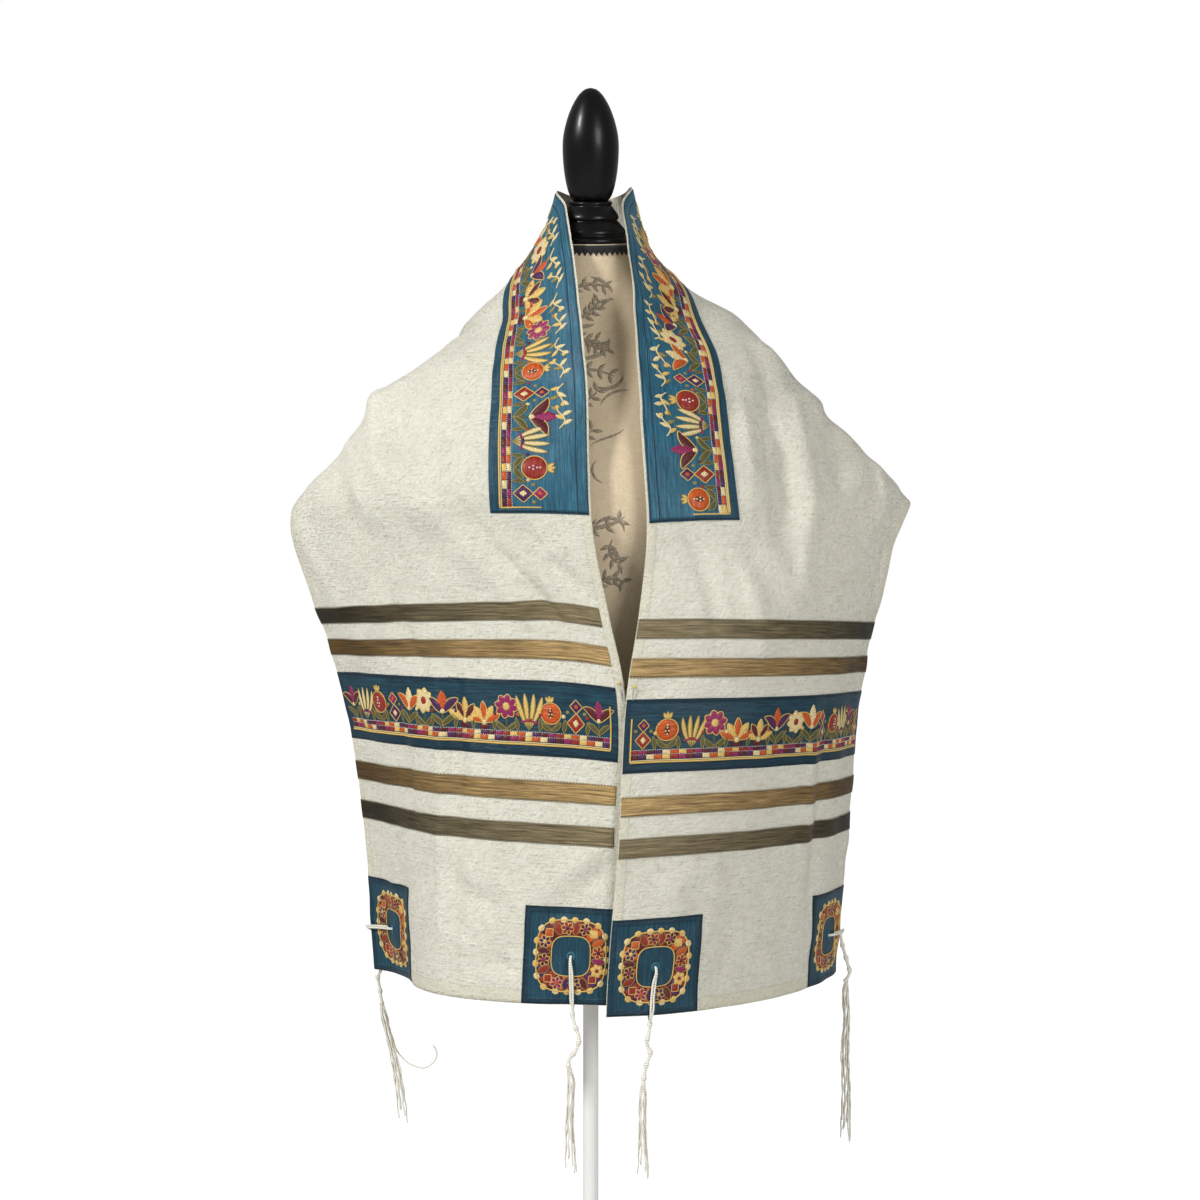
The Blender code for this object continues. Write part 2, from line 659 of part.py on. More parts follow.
def tassel(side, corner):
    name = f"tassel_{side}_{corner}"
    loop_rows, stem_length, line_rows = TASSELS[side, corner]
    columns = zip(loop_rows["down"], loop_rows["outer"], loop_rows["out"])
    line = bent(zip(line_rows["x"], line_rows["y"], line_rows["z"]), 0.002)
    lengths = np.r_[0, np.cumsum(np.linalg.norm(np.diff(line, axis=0), axis=1))]

    def along_line(distance):
        return Vector([float(np.interp(distance, lengths, line[:, k])) for k in range(3)])

    # the stem: a head that hides the loop's two ends, then knots with windings between
    stem_steps = np.linspace(0, stem_length, int(stem_length / 0.0034) + 1)
    knots = (0.002, 0.016, 0.030, 0.043, 0.056)
    swell = [max(np.exp(-(((d - k) / 0.0028) ** 2)) for k in knots) for d in stem_steps]
    radii = [STEM_RADIUS + (KNOT_RADIUS - STEM_RADIUS) * w for w in swell]
    stem_mesh = mesh_from(name, *tube([along_line(d) for d in stem_steps], radii, 6))
    stem = object_from(name, stem_mesh, WHITE_WOOL)

    joined = bpy.data.collections.new(f"{name}_cords")
    cutters.children.link(joined)

    def add(piece, points, radius, sides, turn=0.0):
        mesh = mesh_from(piece, *tube(points, [radius] * len(points), sides, turn))
        made = bpy.data.objects.new(piece, mesh)
        joined.objects.link(made)
        made.hide_render = True
        made.display_type = "WIRE"

    top = along_line(0.0015)
    loop = [top] + [corner_spot(side, corner, *row) for row in columns] + [top]
    loop[0] = top + (loop[1] - top).normalized() * 0.0004
    loop[-1] = top + (loop[-2] - top).normalized() * 0.0004
    add(f"{name}_loop", loop, LOOP_RADIUS, 5, 0.3)

    whole = lengths[-1]
    for k in range(STRANDS):
        angle = tau * (k + 0.5) / STRANDS
        side_way = Vector((cos(angle), sin(angle), 0.0))
        end = whole - 0.004 * ((5 * k) % 7)
        places = [stem_length - 0.004, stem_length + 0.010]
        places += list(np.linspace(stem_length + 0.035, end, 4))
        points = []
        for i, distance in enumerate(places):
            out = (0.0007, 0.0030, SPREAD, SPREAD, SPREAD + 0.0008, SPREAD + 0.0016)[i]
            sway = 0.0008 * sin(2.1 * k + 1.7 * i) * (i > 1)
            points.append(along_line(distance) + side_way * (out + sway))
        if (side, corner) == CURLED and k == 0:
            start = points[2]
            curl = ((0.010, -0.022), (0.022, -0.031), (0.034, -0.034), (0.044, -0.028), (0.048, -0.017), (0.043, -0.009))
            points = points[:3] + [start + Vector((x, 0.0, z)) for x, z in curl]
        add(f"{name}_strand_{k}", points, STRAND_RADIUS, 4, angle)

    join = stem.modifiers.new("join_cords", "BOOLEAN")
    join.operation = "UNION"
    join.solver = "EXACT"
    join.operand_type = "COLLECTION"
    join.collection = joined
    return stem


for side in SIDES:
    for corner in PATCH_EDGES:
        middle = corner_spot(side, corner, 0.0, 0.0, 0.0)
        axis = corner_spot(side, corner, 0.0, 0.0, 0.001) - middle
        punch_mesh = mesh_from(
            f"punch_{side}_{corner}",
            *tube([middle - axis * 6, middle + axis * 6], [EYELET_RADIUS] * 2, 12),
        )
        punch = object_from(punch_mesh.name, punch_mesh, None, cutters)
        cut(shawl, punch)
        cut(patches[side, corner], punch)
        tassel(side, corner)


# ---------------------------------------------------------------- dress form and stand
FORM_AROUND = 32


def form_ring(height, off):
    """Points round the torso at one height, `off` out from its skin, leaning with the neck."""
    width, front, back, square = (
        float(smooth(FORM["z"], FORM[name], height))
        for name in ("half_width", "front", "back", "squareness")
    )
    lean = np.tan(NECK_TILT) * ease((height - 1.285) / 0.067)
    ring = []
    for k in range(FORM_AROUND):
        angle = tau * k / FORM_AROUND
        depth = (back if sin(angle) > 0 else front) + off
        reach = (
            (abs(cos(angle)) / (width + off)) ** square + (abs(sin(angle)) / depth) ** square
        ) ** (-1 / square)
        x, y = reach * cos(angle), reach * sin(angle)
        ring.append(Vector((FORM_X + x, FORM_Y + y, height + y * lean)))
    return ring


def lofted(name, rings, look):
    sides = len(rings[0])
    vertices = [v for ring in rings for v in ring]
    faces = [tuple(reversed(range(sides)))]
    for i in range(len(rings) - 1):
        for k in range(sides):
            a, b = i * sides + k, i * sides + (k + 1) % sides
            faces.append((a, b, b + sides, a + sides))
    faces.append(tuple(range((len(rings) - 1) * sides, len(rings) * sides)))
    return object_from(name, mesh_from(name, vertices, faces), look)


NECK_TOP = float(FORM["z"][-1])
FORM_FLOOR = float(FORM["z"][0])
levels = [0.0, 0.008, 0.030]
levels += list(np.linspace(0.065, NECK_TOP - FORM_FLOOR - 0.110, 12))
levels += [NECK_TOP - FORM_FLOOR - d for d in (0.090, 0.068, 0.050, 0.035, 0.023, 0.0125, 0.001, 0.0)]
form_rings = [form_ring(FORM_FLOOR + level, 0.0) for level in levels]
rim_centre = sum(form_rings[0], Vector()) / FORM_AROUND
form_rings[0] = [rim_centre + (v - rim_centre) * 0.965 for v in form_rings[0]]
lofted("form_torso", form_rings, LINEN)

# The braid: a thin ring sewn round the top of the neck.
TRIM_HEIGHTS = (NECK_TOP - 0.0125, NECK_TOP - 0.0010)
TRIM_OUT = (SEAM_GAP, SEAM_GAP + 0.0011)
trim_loop = [form_ring(TRIM_HEIGHTS[0], TRIM_OUT[1]), form_ring(TRIM_HEIGHTS[1], TRIM_OUT[1])]
trim_loop += [form_ring(TRIM_HEIGHTS[1], TRIM_OUT[0]), form_ring(TRIM_HEIGHTS[0], TRIM_OUT[0])]
trim_faces = []
for i in range(4):
    for k in range(FORM_AROUND):
        a, b = i * FORM_AROUND + k, i * FORM_AROUND + (k + 1) % FORM_AROUND
        c, d = (b + FORM_AROUND) % (4 * FORM_AROUND), (a + FORM_AROUND) % (4 * FORM_AROUND)
        trim_faces.append((a, b, c, d))
trim_vertices = [v for ring in trim_loop for v in ring]
object_from("form_trim", mesh_from("form_trim", trim_vertices, trim_faces), BLACK_BRAID)

# The turned cap and knob stand square on the leaning top of the neck.
neck_middle = Vector((FORM_X, FORM_Y + (FORM["back"][-1] - FORM["front"][-1]) / 2, NECK_TOP))
neck_middle.z += (neck_middle.y - FORM_Y) * np.tan(NECK_TILT)
ON_NECK = Matrix.Translation(neck_middle) @ Matrix.Rotation(NECK_TILT, 4, "X")
ON_FLOOR = Matrix.Translation((FORM_X, FORM_Y, 0.0))

CAP = table("""
    radius  height
    0.0150  0.0425
    0.0205  0.0425
    0.0222  0.0414
    0.0224  0.0398
    0.0216  0.0384
    0.0238  0.0350
    0.0268  0.0310
    0.0288  0.0270
    0.0290  0.0245
    0.0276  0.0230
    0.0300  0.0200
    0.0335  0.0160
    0.0358  0.0125
    0.0362  0.0100
    0.0356  0.0080
    0.0378  0.0064
    0.0405  0.0050
    0.0412  0.0032
    0.0408  0.0012
    0.0395  0.0003
""")
FINIAL = table("""
    radius  height
    0.0012  0.1570
    0.0055  0.1558
    0.0105  0.1520
    0.0160  0.1445
    0.0215  0.1335
    0.0257  0.1210
    0.0283  0.1090
    0.0291  0.0990
    0.0289  0.0880
    0.0281  0.0770
    0.0268  0.0670
    0.0250  0.0580
    0.0228  0.0505
    0.0206  0.0458
    0.0190  0.0438
    0.0180  0.0428
""")
FOOT = table("""
    radius  height
    0.0200  0.0135
    0.0230  0.0130
    0.0300  0.0100
    0.1000  0.0088
    0.1600  0.0070
    0.1765  0.0055
    0.1800  0.0035
    0.1800  0.0008
    0.1792  0.0000
""")
lathe("neck_cap", zip(CAP["radius"], CAP["height"]), 20, BLACK_LACQUER, ON_NECK)
lathe("finial", zip(FINIAL["radius"], FINIAL["height"]), 18, BLACK_LACQUER, ON_NECK)
lathe("foot", zip(FOOT["radius"], FOOT["height"]), 32, WHITE_ENAMEL, ON_FLOOR)
pole_ends = ((POLE_RADIUS, FORM_FLOOR - SEAM_GAP), (POLE_RADIUS, FOOT_TOP + SEAM_GAP))
lathe("pole", pole_ends, 20, WHITE_ENAMEL, ON_FLOOR)

for thing in parts.objects:
    for polygon in thing.data.polygons:
        polygon.use_smooth = True
    thing.data.set_sharp_from_angle(angle=radians(35))
for thing in cutters.all_objects:
    thing.hide_render = True
    thing.display_type = "WIRE"
cutters.hide_render = True
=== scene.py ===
import bpy
import numpy as np
from math import cos, pi, radians, sin, tan, tau
from mathutils import Matrix, Vector


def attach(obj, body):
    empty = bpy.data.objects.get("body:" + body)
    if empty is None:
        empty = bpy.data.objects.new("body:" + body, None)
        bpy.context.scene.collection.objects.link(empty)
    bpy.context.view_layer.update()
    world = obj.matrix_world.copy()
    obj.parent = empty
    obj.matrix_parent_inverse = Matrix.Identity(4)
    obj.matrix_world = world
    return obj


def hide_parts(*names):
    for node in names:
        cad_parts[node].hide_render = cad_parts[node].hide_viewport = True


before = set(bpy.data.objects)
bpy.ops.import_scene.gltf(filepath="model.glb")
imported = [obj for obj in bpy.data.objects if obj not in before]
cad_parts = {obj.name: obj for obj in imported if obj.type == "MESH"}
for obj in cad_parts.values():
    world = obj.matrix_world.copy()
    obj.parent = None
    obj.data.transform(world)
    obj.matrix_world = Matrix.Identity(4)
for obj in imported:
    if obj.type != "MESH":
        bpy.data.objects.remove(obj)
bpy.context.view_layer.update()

# ------------------------------------------------------------------ the stand
# A round foot of steel plate and a slim steel tube screwed up from it into the form.
# Both are stove enamelled white. Everything else stands on them.


def look(name, colour, roughness, metallic=0.0, coat=0.0, sheen=0.0, specular=0.5):
    """A material in linear colour, with its shader ready for grain and weave."""
    made = bpy.data.materials.new(name)
    made.use_nodes = True
    shader = made.node_tree.nodes["Principled BSDF"]
    shader.inputs["Base Color"].default_value = (*colour, 1.0)
    shader.inputs["Roughness"].default_value = roughness
    shader.inputs["Metallic"].default_value = metallic
    shader.inputs["Coat Weight"].default_value = coat
    shader.inputs["Coat Roughness"].default_value = 0.08
    shader.inputs["Sheen Weight"].default_value = sheen
    shader.inputs["Sheen Roughness"].default_value = 0.4
    shader.inputs["Specular IOR Level"].default_value = specular
    return made


def shown(name, vertices, faces, looks, body="root"):
    """One visible piece on the frame, from plain points and faces, smooth shaded."""
    mesh = bpy.data.meshes.new(name)
    mesh.from_pydata([tuple(map(float, v)) for v in vertices], [], faces)
    mesh.update()
    piece = bpy.data.objects.new(name, mesh)
    bpy.context.scene.collection.objects.link(piece)
    for one in looks if isinstance(looks, (list, tuple)) else [looks]:
        mesh.materials.append(one)
    mesh.polygons.foreach_set("use_smooth", [True] * len(mesh.polygons))
    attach(piece, body)
    return piece


def turned(name, profile, sides, material, place):
    """A piece turned round its axis, from (radius, height) pairs, top to bottom."""
    vertices, faces = [], []
    for radius, height in profile:
        for k in range(sides):
            angle = tau * k / sides
            vertices.append(place @ Vector((radius * cos(angle), radius * sin(angle), height)))
    for i in range(len(profile) - 1):
        for k in range(sides):
            a, b = i * sides + k, i * sides + (k + 1) % sides
            faces.append((a, a + sides, b + sides, b))
    faces.append(tuple(range(sides)))
    faces.append(tuple(reversed(range((len(profile) - 1) * sides, len(profile) * sides))))
    piece = shown(name, vertices, faces, material)
    piece.data.set_sharp_from_angle(angle=radians(50))
    return piece


def table(text):
    """Columns by name, from rows of numbers under a row of names."""
    names, *lines = [line.split() for line in text.strip().splitlines()]
    values = np.array([[float(word) for word in line] for line in lines])
    return {name: values[:, i] for i, name in enumerate(names)}


def smooth(xs, ys, x):
    """A smooth curve through the points (xs, ys), read at x."""
    width = np.diff(xs)
    slope = np.diff(ys) / width
    tangent = np.empty(len(xs))
    tangent[1:-1] = (slope[:-1] * width[1:] + slope[1:] * width[:-1]) / (width[:-1] + width[1:])
    tangent[0], tangent[-1] = slope[0], slope[-1]
    x = np.clip(x, xs[0], xs[-1])
    i = np.clip(np.searchsorted(xs, x) - 1, 0, len(xs) - 2)
    t = (x - xs[i]) / width[i]
    start = (1 + 2 * t) * (1 - t) ** 2 * ys[i] + t * (1 - t) ** 2 * width[i] * tangent[i]
    end = t * t * (3 - 2 * t) * ys[i + 1] + t * t * (t - 1) * width[i] * tangent[i + 1]
    return start + end


def ease(t):
    """0 up to 1, level at both ends."""
    t = np.clip(t, 0.0, 1.0)
    return t * t * (3 - 2 * t)


def profile_of(rows, step):
    """A turned profile drawn smoothly through (radius, height) rows, top to bottom."""
    corners = np.stack([rows["radius"], rows["height"]], axis=1)
    chord = np.r_[0, np.cumsum(np.hypot(*np.diff(corners, axis=0).T))]
    t = np.linspace(0, chord[-1], int(chord[-1] / step) + 1)
    return list(zip(np.maximum(smooth(chord, corners[:, 0], t), 0.0008), smooth(chord, corners[:, 1], t)))


FORM_X = -0.0065
FORM_Y = 0.0
FORM_FLOOR = 0.635
ENAMEL = look("white_enamel", (0.80, 0.80, 0.78), 0.30, coat=0.4)
ON_FLOOR = Matrix.Translation((FORM_X, FORM_Y, 0.0))
FOOT_PROFILE = table("""
    radius  height
    0.0090  0.0135
    0.0200  0.0135
    0.0230  0.0130
    0.0300  0.0100
    0.1000  0.0088
    0.1600  0.0070
    0.1765  0.0055
    0.1800  0.0035
    0.1800  0.0008
    0.1792  0.0000
""")
foot = turned("stand_foot", list(zip(FOOT_PROFILE["radius"], FOOT_PROFILE["height"])), 96, ENAMEL, ON_FLOOR)
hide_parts("foot")
pole_profile = [(0.0080, FORM_FLOOR - 0.0003), (0.0080, 0.30), (0.0080, 0.0138)]
pole = turned("stand_pole", pole_profile, 40, ENAMEL, ON_FLOOR)
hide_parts("pole")

# ------------------------------------------------------------------ the padded torso
# A limbless torso moulded in papier mache and covered in flecked beige linen that is
# printed in brown. Its neck leans a little forwards, as a person's does.
FORM = table("""
    z      half_width  front  back   squareness
    0.635  0.158       0.088  0.110  2.1
    0.665  0.165       0.094  0.118  2.1
    0.720  0.172       0.100  0.126  2.1
    0.780  0.168       0.100  0.122  2.1
    0.860  0.138       0.092  0.098  2.0
    0.930  0.120       0.088  0.080  2.0
    1.000  0.138       0.105  0.074  2.1
    1.060  0.160       0.118  0.077  2.2
    1.110  0.170       0.112  0.081  2.2
    1.160  0.172       0.089  0.084  2.3
    1.200  0.169       0.068  0.083  2.4
    1.225  0.155       0.055  0.080  2.4
    1.245  0.131       0.045  0.075  2.3
    1.262  0.105       0.041  0.070  2.2
    1.285  0.078       0.040  0.064  2.1
    1.310  0.057       0.039  0.056  2.0
    1.335  0.045       0.038  0.048  2.0
    1.352  0.042       0.037  0.044  2.0
""")
NECK_TOP = 1.352
NECK_TILT = radians(12)


NECK_LEANS_FROM = 1.285
FORM_SIDES = 96


def form_sizes(height):
    """The torso's half width, depth in front and behind, and squareness at a height."""
    return [float(smooth(FORM["z"], column, height)) for name, column in FORM.items() if name != "z"]


def on_skin(x, y, height):
    """A place beside the form's axis, carried up or down where the neck leans."""
    lean = tan(NECK_TILT) * float(ease((height - NECK_LEANS_FROM) / (NECK_TOP - NECK_LEANS_FROM)))
    return Vector((FORM_X + x, FORM_Y + y, height + y * lean))


def form_point(angle, height, off):
    """A place on the torso's skin, or `off` out from it."""
    width, front, back, square = form_sizes(height)
    depth = (back if sin(angle) > 0 else front) + off
    reach = (abs(cos(angle)) / (width + off)) ** square + (abs(sin(angle)) / depth) ** square
    x, y = (reach ** (-1 / square) * share for share in (cos(angle), sin(angle)))
    return on_skin(x, y, height)


def ring_faces(rings, sides, closed=False):
    """Faces of a tube of rings, with flat ends unless it closes on itself."""
    faces = []
    for i in range(rings if closed else rings - 1):
        for k in range(sides):
            a, b = i * sides + k, i * sides + (k + 1) % sides
            c, d = (b + sides) % (rings * sides), (a + sides) % (rings * sides)
            faces.append((a, b, c, d))
    if not closed:
        faces.append(tuple(reversed(range(sides))))
        faces.append(tuple(range((rings - 1) * sides, rings * sides)))
    return faces


def node(tree, kind, **values):
    """A node with its sockets and settings filled in; socket names have _ for a space."""
    made = tree.nodes.new(kind)
    for name, value in values.items():
        if name in made.inputs:
            target = made.inputs[name]
        elif name.replace("_", " ") in made.inputs:
            target = made.inputs[name.replace("_", " ")]
        else:
            setattr(made, name, value)
            continue
        if isinstance(value, bpy.types.NodeSocket):
            tree.links.new(value, target)
        else:
            target.default_value = value
    return made


def math(tree, operation, a, b=0.0):
    made = tree.nodes.new("ShaderNodeMath")
    made.operation = operation
    for socket, value in zip(made.inputs, (a, b)):
        if isinstance(value, bpy.types.NodeSocket):
            tree.links.new(value, socket)
        else:
            socket.default_value = value
    return made.outputs[0]


def grain(tree, source, scale, detail=3.0, roughness=0.6):
    """Fine noise over a source, `scale` lumps to the metre in each direction."""
    spread = node(tree, "ShaderNodeMapping", Vector=source, Scale=scale)
    noise = node(tree, "ShaderNodeTexNoise", Vector=spread.outputs[0], Scale=1.0, Detail=detail)
    noise.inputs["Roughness"].default_value = roughness
    return noise.outputs["Fac"]


def ramp(tree, factor, *stops):
    """Colours or greys along a factor, as (place, (r, g, b))."""
    made = tree.nodes.new("ShaderNodeValToRGB")
    tree.links.new(factor, made.inputs[0])
    while len(made.color_ramp.elements) < len(stops):
        made.color_ramp.elements.new(0.5)
    for element, (place, colour) in zip(made.color_ramp.elements, stops):
        element.position = place
        element.color = (*colour, 1.0) if len(colour) == 3 else colour
    return made.outputs[0]


def mixed(tree, factor, a, b, blend="MIX"):
    """Colour a turning to b by factor."""
    made = tree.nodes.new("ShaderNodeMix")
    made.data_type = "RGBA"
    made.blend_type = blend
    for socket, value in ((made.inputs[0], factor), (made.inputs[6], a), (made.inputs[7], b)):
        if isinstance(value, bpy.types.NodeSocket):
            tree.links.new(value, socket)
        elif isinstance(value, tuple):
            socket.default_value = (*value, 1.0)
        else:
            socket.default_value = value
    return made.outputs[2]


def bumped(material, height, distance, strength=1.0):
    """The surface raised by a height, under whatever bump it has already."""
    tree = material.node_tree
    shader = tree.nodes["Principled BSDF"]
    before = shader.inputs["Normal"].links
    bump = node(tree, "ShaderNodeBump", Height=height, Distance=distance, Strength=strength)
    if before:
        tree.links.new(before[0].from_socket, bump.inputs["Normal"])
    tree.links.new(bump.outputs[0], shader.inputs["Normal"])


def coloured(material, colour):
    material.node_tree.links.new(colour, material.node_tree.nodes["Principled BSDF"].inputs["Base Color"])


def object_place(tree):
    """Where a point is in its piece's own space."""
    return tree.nodes.new("ShaderNodeTexCoord").outputs["Object"]


LINEN = look("printed_linen", (0.75, 0.66, 0.50), 0.92, sheen=0.15)
tree = LINEN.node_tree
place = object_place(tree)
fleck = grain(tree, place, (900, 900, 900), 2.0, 0.7)
mottle = grain(tree, place, (140, 140, 140), 4.0, 0.7)
warp = grain(tree, place, (1500, 1500, 160), 2.0)
weft = grain(tree, place, (160, 160, 1500), 2.0)
base = ramp(tree, fleck, (0.30, (0.66, 0.55, 0.38)), (0.50, (0.94, 0.81, 0.59)), (0.68, (0.98, 0.90, 0.72)))
cloth_tone = mixed(tree, 0.35, base, ramp(tree, mottle, (0.3, (0.72, 0.60, 0.42)), (0.7, (0.97, 0.87, 0.68))))
coloured(LINEN, mixed(tree, 1.0, cloth_tone, (0.70, 0.66, 0.61), "MULTIPLY"))
bumped(LINEN, warp, 0.00025, 0.5)
bumped(LINEN, weft, 0.00025, 0.5)

levels = [FORM_FLOOR + up for up in (0.0, 0.002, 0.006)]
levels += list(np.linspace(FORM_FLOOR + 0.012, NECK_TOP - 0.016, 90))
levels += [NECK_TOP - down for down in (0.0125, 0.008, 0.004, 0.001, 0.0)]
form_rings = [[form_point(tau * k / FORM_SIDES, z, 0.0) for k in range(FORM_SIDES)] for z in levels]
# the lowest rings draw in, so that the torso's lower edge is rounded
for ring, inset in enumerate((0.965, 0.985, 0.996)):
    middle = sum(form_rings[ring], Vector()) / FORM_SIDES
    form_rings[ring] = [Vector((*(middle + (v - middle) * inset).xy, v.z)) for v in form_rings[ring]]
skin = [v for ring in form_rings for v in ring]
torso = shown("torso", skin, ring_faces(len(form_rings), FORM_SIDES), LINEN)
torso.data.set_sharp_from_angle(angle=radians(60))
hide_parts("form_torso")

# The print on the linen: brown scrolls and leaf sprigs, drawn with a broad pen.
PRINT = look("brown_print", (0.22, 0.17, 0.12), 0.9)
tree = PRINT.node_tree
worn = grain(tree, object_place(tree), (700, 700, 700), 3.0, 0.8)
coloured(PRINT, ramp(tree, worn, (0.40, (0.17, 0.135, 0.095)), (0.60, (0.44, 0.37, 0.27))))


def on_form(x, z, off):
    """The point on the torso's front at a distance x to the side of its middle."""
    width, front, _, square = form_sizes(z)
    share = min(abs(x) / (width + off), 0.999)
    return on_skin(x, -(front + off) * (1 - share**square) ** (1 / square), z)


def pen_stroke(vertices, faces, line, widths):
    """A thin flat stroke of print along a line of (x, z) places, closed all round."""
    line = [Vector(p) for p in line]
    start = len(vertices)
    for i, (spot, width) in enumerate(zip(line, widths)):
        way = line[min(i + 1, len(line) - 1)] - line[max(i - 1, 0)]
        side = Vector((-way.y, way.x)).normalized() * width / 2
        for edge in (spot - side, spot + side):
            for off in (0.00022, -0.0003):
                vertices.append(on_form(edge.x, edge.y, off))
    for i in range(len(line) - 1):
        a = start + 4 * i
        for p, q in ((0, 2), (3, 1), (1, 0), (2, 3)):
            faces.append((a + p, a + q, a + q + 4, a + p + 4))
    a = start + 4 * (len(line) - 1)
    faces.append((start, start + 1, start + 3, start + 2))
    faces.append((a, a + 2, a + 3, a + 1))


# Strokes: where each starts, its first heading, how long it is, how its heading turns from
# start to end (degrees to the metre), and its widest width.
PRINT_STROKES = table("""
    x       z       heading  length  turn_0   turn_1   width
   -0.024   1.292   60       0.046  -2200    -1500     0.0045
    0.022   1.296   110      0.030   2300     1300     0.0045
   -0.026   1.262  -70       0.042   2300     1500     0.0042
    0.020   1.240   240      0.040  -2100    -1500     0.0042
   -0.012   1.268   20       0.030   900      2600     0.0050
    0.004   1.262   200      0.024  -900     -3600     0.0042
   -0.004   1.246  -60       0.026   2400     4200     0.0036
    0.010   1.276   80       0.020  -3000    -5200     0.0034
   -0.026   1.208   30       0.052  -1300    -900      0.0031
    0.006   1.196  -30       0.034   2600     3900     0.0039
   -0.022   1.170   40       0.040  -1500     2900     0.0028
    0.010   1.176   70       0.034  -2600    -1500     0.0028
   -0.026   1.130   50       0.038  -2200     2600     0.0025
    0.000   1.134   40       0.038  -2200     2600     0.0025
   -0.020   1.092   20       0.030   3200     6200     0.0025
    0.012   1.096   160      0.028  -3000    -5600     0.0025
   -0.024   1.042   35       0.062  -1600     1900     0.0042
    0.004   1.052   60       0.040  -2600    -4800     0.0036
    0.022   1.040  -120      0.030   2500     5000     0.0036
   -0.020   0.992   70       0.044  -2100    -4600     0.0048
    0.004   0.986   80       0.040  -2300    -4600     0.0048
    0.020   0.962  -150      0.034   2100     4400     0.0036
   -0.016   0.934   40       0.036  -2100     3300     0.0036
    0.006   0.918   60       0.030  -3300    -5300     0.0034
    0.024   0.902   100      0.030   2100     4300     0.0034
    0.012   0.876   50       0.034  -2600     3100     0.0028
    0.028   0.852   120      0.024   2600     5200     0.0025
""")
STROKE_STEPS = 26
LEAFLET_SPLAY = 0.9     # radians from its stroke
LEAFLET_WIDTHS = (0.0006, 0.0030, 0.0042, 0.0038, 0.0022, 0.0004)
LEAFLET_STEPS = np.linspace(0.0008, 0.0115, len(LEAFLET_WIDTHS))[:, None]
vertices, faces = [], []
for k, (x, z, heading, length, turn_0, turn_1, width) in enumerate(zip(*PRINT_STROKES.values())):
    heading = radians(heading)
    spot = np.array([x, z])
    line, widths = [], []
    for i in range(STROKE_STEPS + 1):
        line.append(spot)
        widths.append(width * (0.16 + 0.84 * abs(sin(pi * i / STROKE_STEPS)) ** 0.8))
        heading += radians(turn_0 + (turn_1 - turn_0) * i / STROKE_STEPS) * length / STROKE_STEPS
        spot = spot + np.array([cos(heading), sin(heading)]) * length / STROKE_STEPS
    pen_stroke(vertices, faces, line, widths)
    # leaflets either side of every other stroke
    if k % 2 == 0:
        for i in range(5, STROKE_STEPS - 2, 6):
            way = line[i + 1] - line[i]
            for hand in (-1, 1):
                angle = np.arctan2(way[1], way[0]) + hand * LEAFLET_SPLAY
                leaflet = line[i] + np.array([cos(angle), sin(angle)]) * LEAFLET_STEPS
                pen_stroke(vertices, faces, leaflet, LEAFLET_WIDTHS)
shown("form_print", vertices, faces, PRINT)

# ------------------------------------------------------------------ braid, cap and knob
# A black saw-toothed gimp braid is glued round the top of the neck. On the neck stands a
# turned wooden cap with a turned knob dowelled into it, both lacquered glossy black.
BRAID = look("black_braid", (0.012, 0.012, 0.013), 0.85, sheen=0.2)
tree = BRAID.node_tree
bumped(BRAID, grain(tree, object_place(tree), (1600, 1600, 1600)), 0.0004, 0.6)
BRAID_TEETH = 42
BRAID_BELOW = 0.0125    # the braid's lower edge, down from the neck's top
TOOTH_RISE = 0.0045
BRAID_SECTION = table("""
    rise    tooth  off
    0.0000  1.0    0.0007
    0.0010  1.0    0.0013
    0.0070  0.2    0.0014
    0.0088  0.0    0.0021
    0.0106  0.0    0.0014
    0.0117  0.0    0.0008
    0.0117  0.0    0.0002
    0.0000  1.0    0.0002
""")
around = BRAID_TEETH * 6
rows = len(BRAID_SECTION["rise"])
vertices, faces = [], []
for k in range(around):
    tooth = abs((k % 6) / 3 - 1)
    for rise, share, off in zip(*BRAID_SECTION.values()):
        height = NECK_TOP - BRAID_BELOW + float(rise) + TOOTH_RISE * tooth * float(share)
        vertices.append(form_point(tau * k / around, height, float(off)))
for k in range(around):
    a, b = k * rows, (k + 1) % around * rows
    for i in range(rows):
        j = (i + 1) % rows
        faces.append((a + i, b + i, b + j, a + j))
braid = shown("neck_braid", vertices, faces, BRAID)
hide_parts("form_trim")

LACQUER = look("black_lacquer", (0.002, 0.002, 0.002), 0.31, coat=0.05, specular=0.20)
tree = LACQUER.node_tree
bumped(LACQUER, grain(tree, object_place(tree), (60, 60, 25), 2.0), 0.0003, 0.25)
neck_y = FORM_Y + float(FORM["back"][-1] - FORM["front"][-1]) / 2
ON_NECK = Matrix.Translation((FORM_X, neck_y, NECK_TOP + (neck_y - FORM_Y) * tan(NECK_TILT)))
ON_NECK = ON_NECK @ Matrix.Rotation(NECK_TILT, 4, "X")
CAP_PROFILE = table("""
    radius  height
    0.0150  0.0425
    0.0205  0.0425
    0.0222  0.0414
    0.0224  0.0398
    0.0216  0.0384
    0.0238  0.0350
    0.0268  0.0310
    0.0288  0.0270
    0.0290  0.0245
    0.0276  0.0230
    0.0300  0.0200
    0.0335  0.0160
    0.0358  0.0125
    0.0362  0.0100
    0.0356  0.0080
    0.0378  0.0064
    0.0405  0.0050
    0.0412  0.0032
    0.0408  0.0012
    0.0395  0.0003
""")
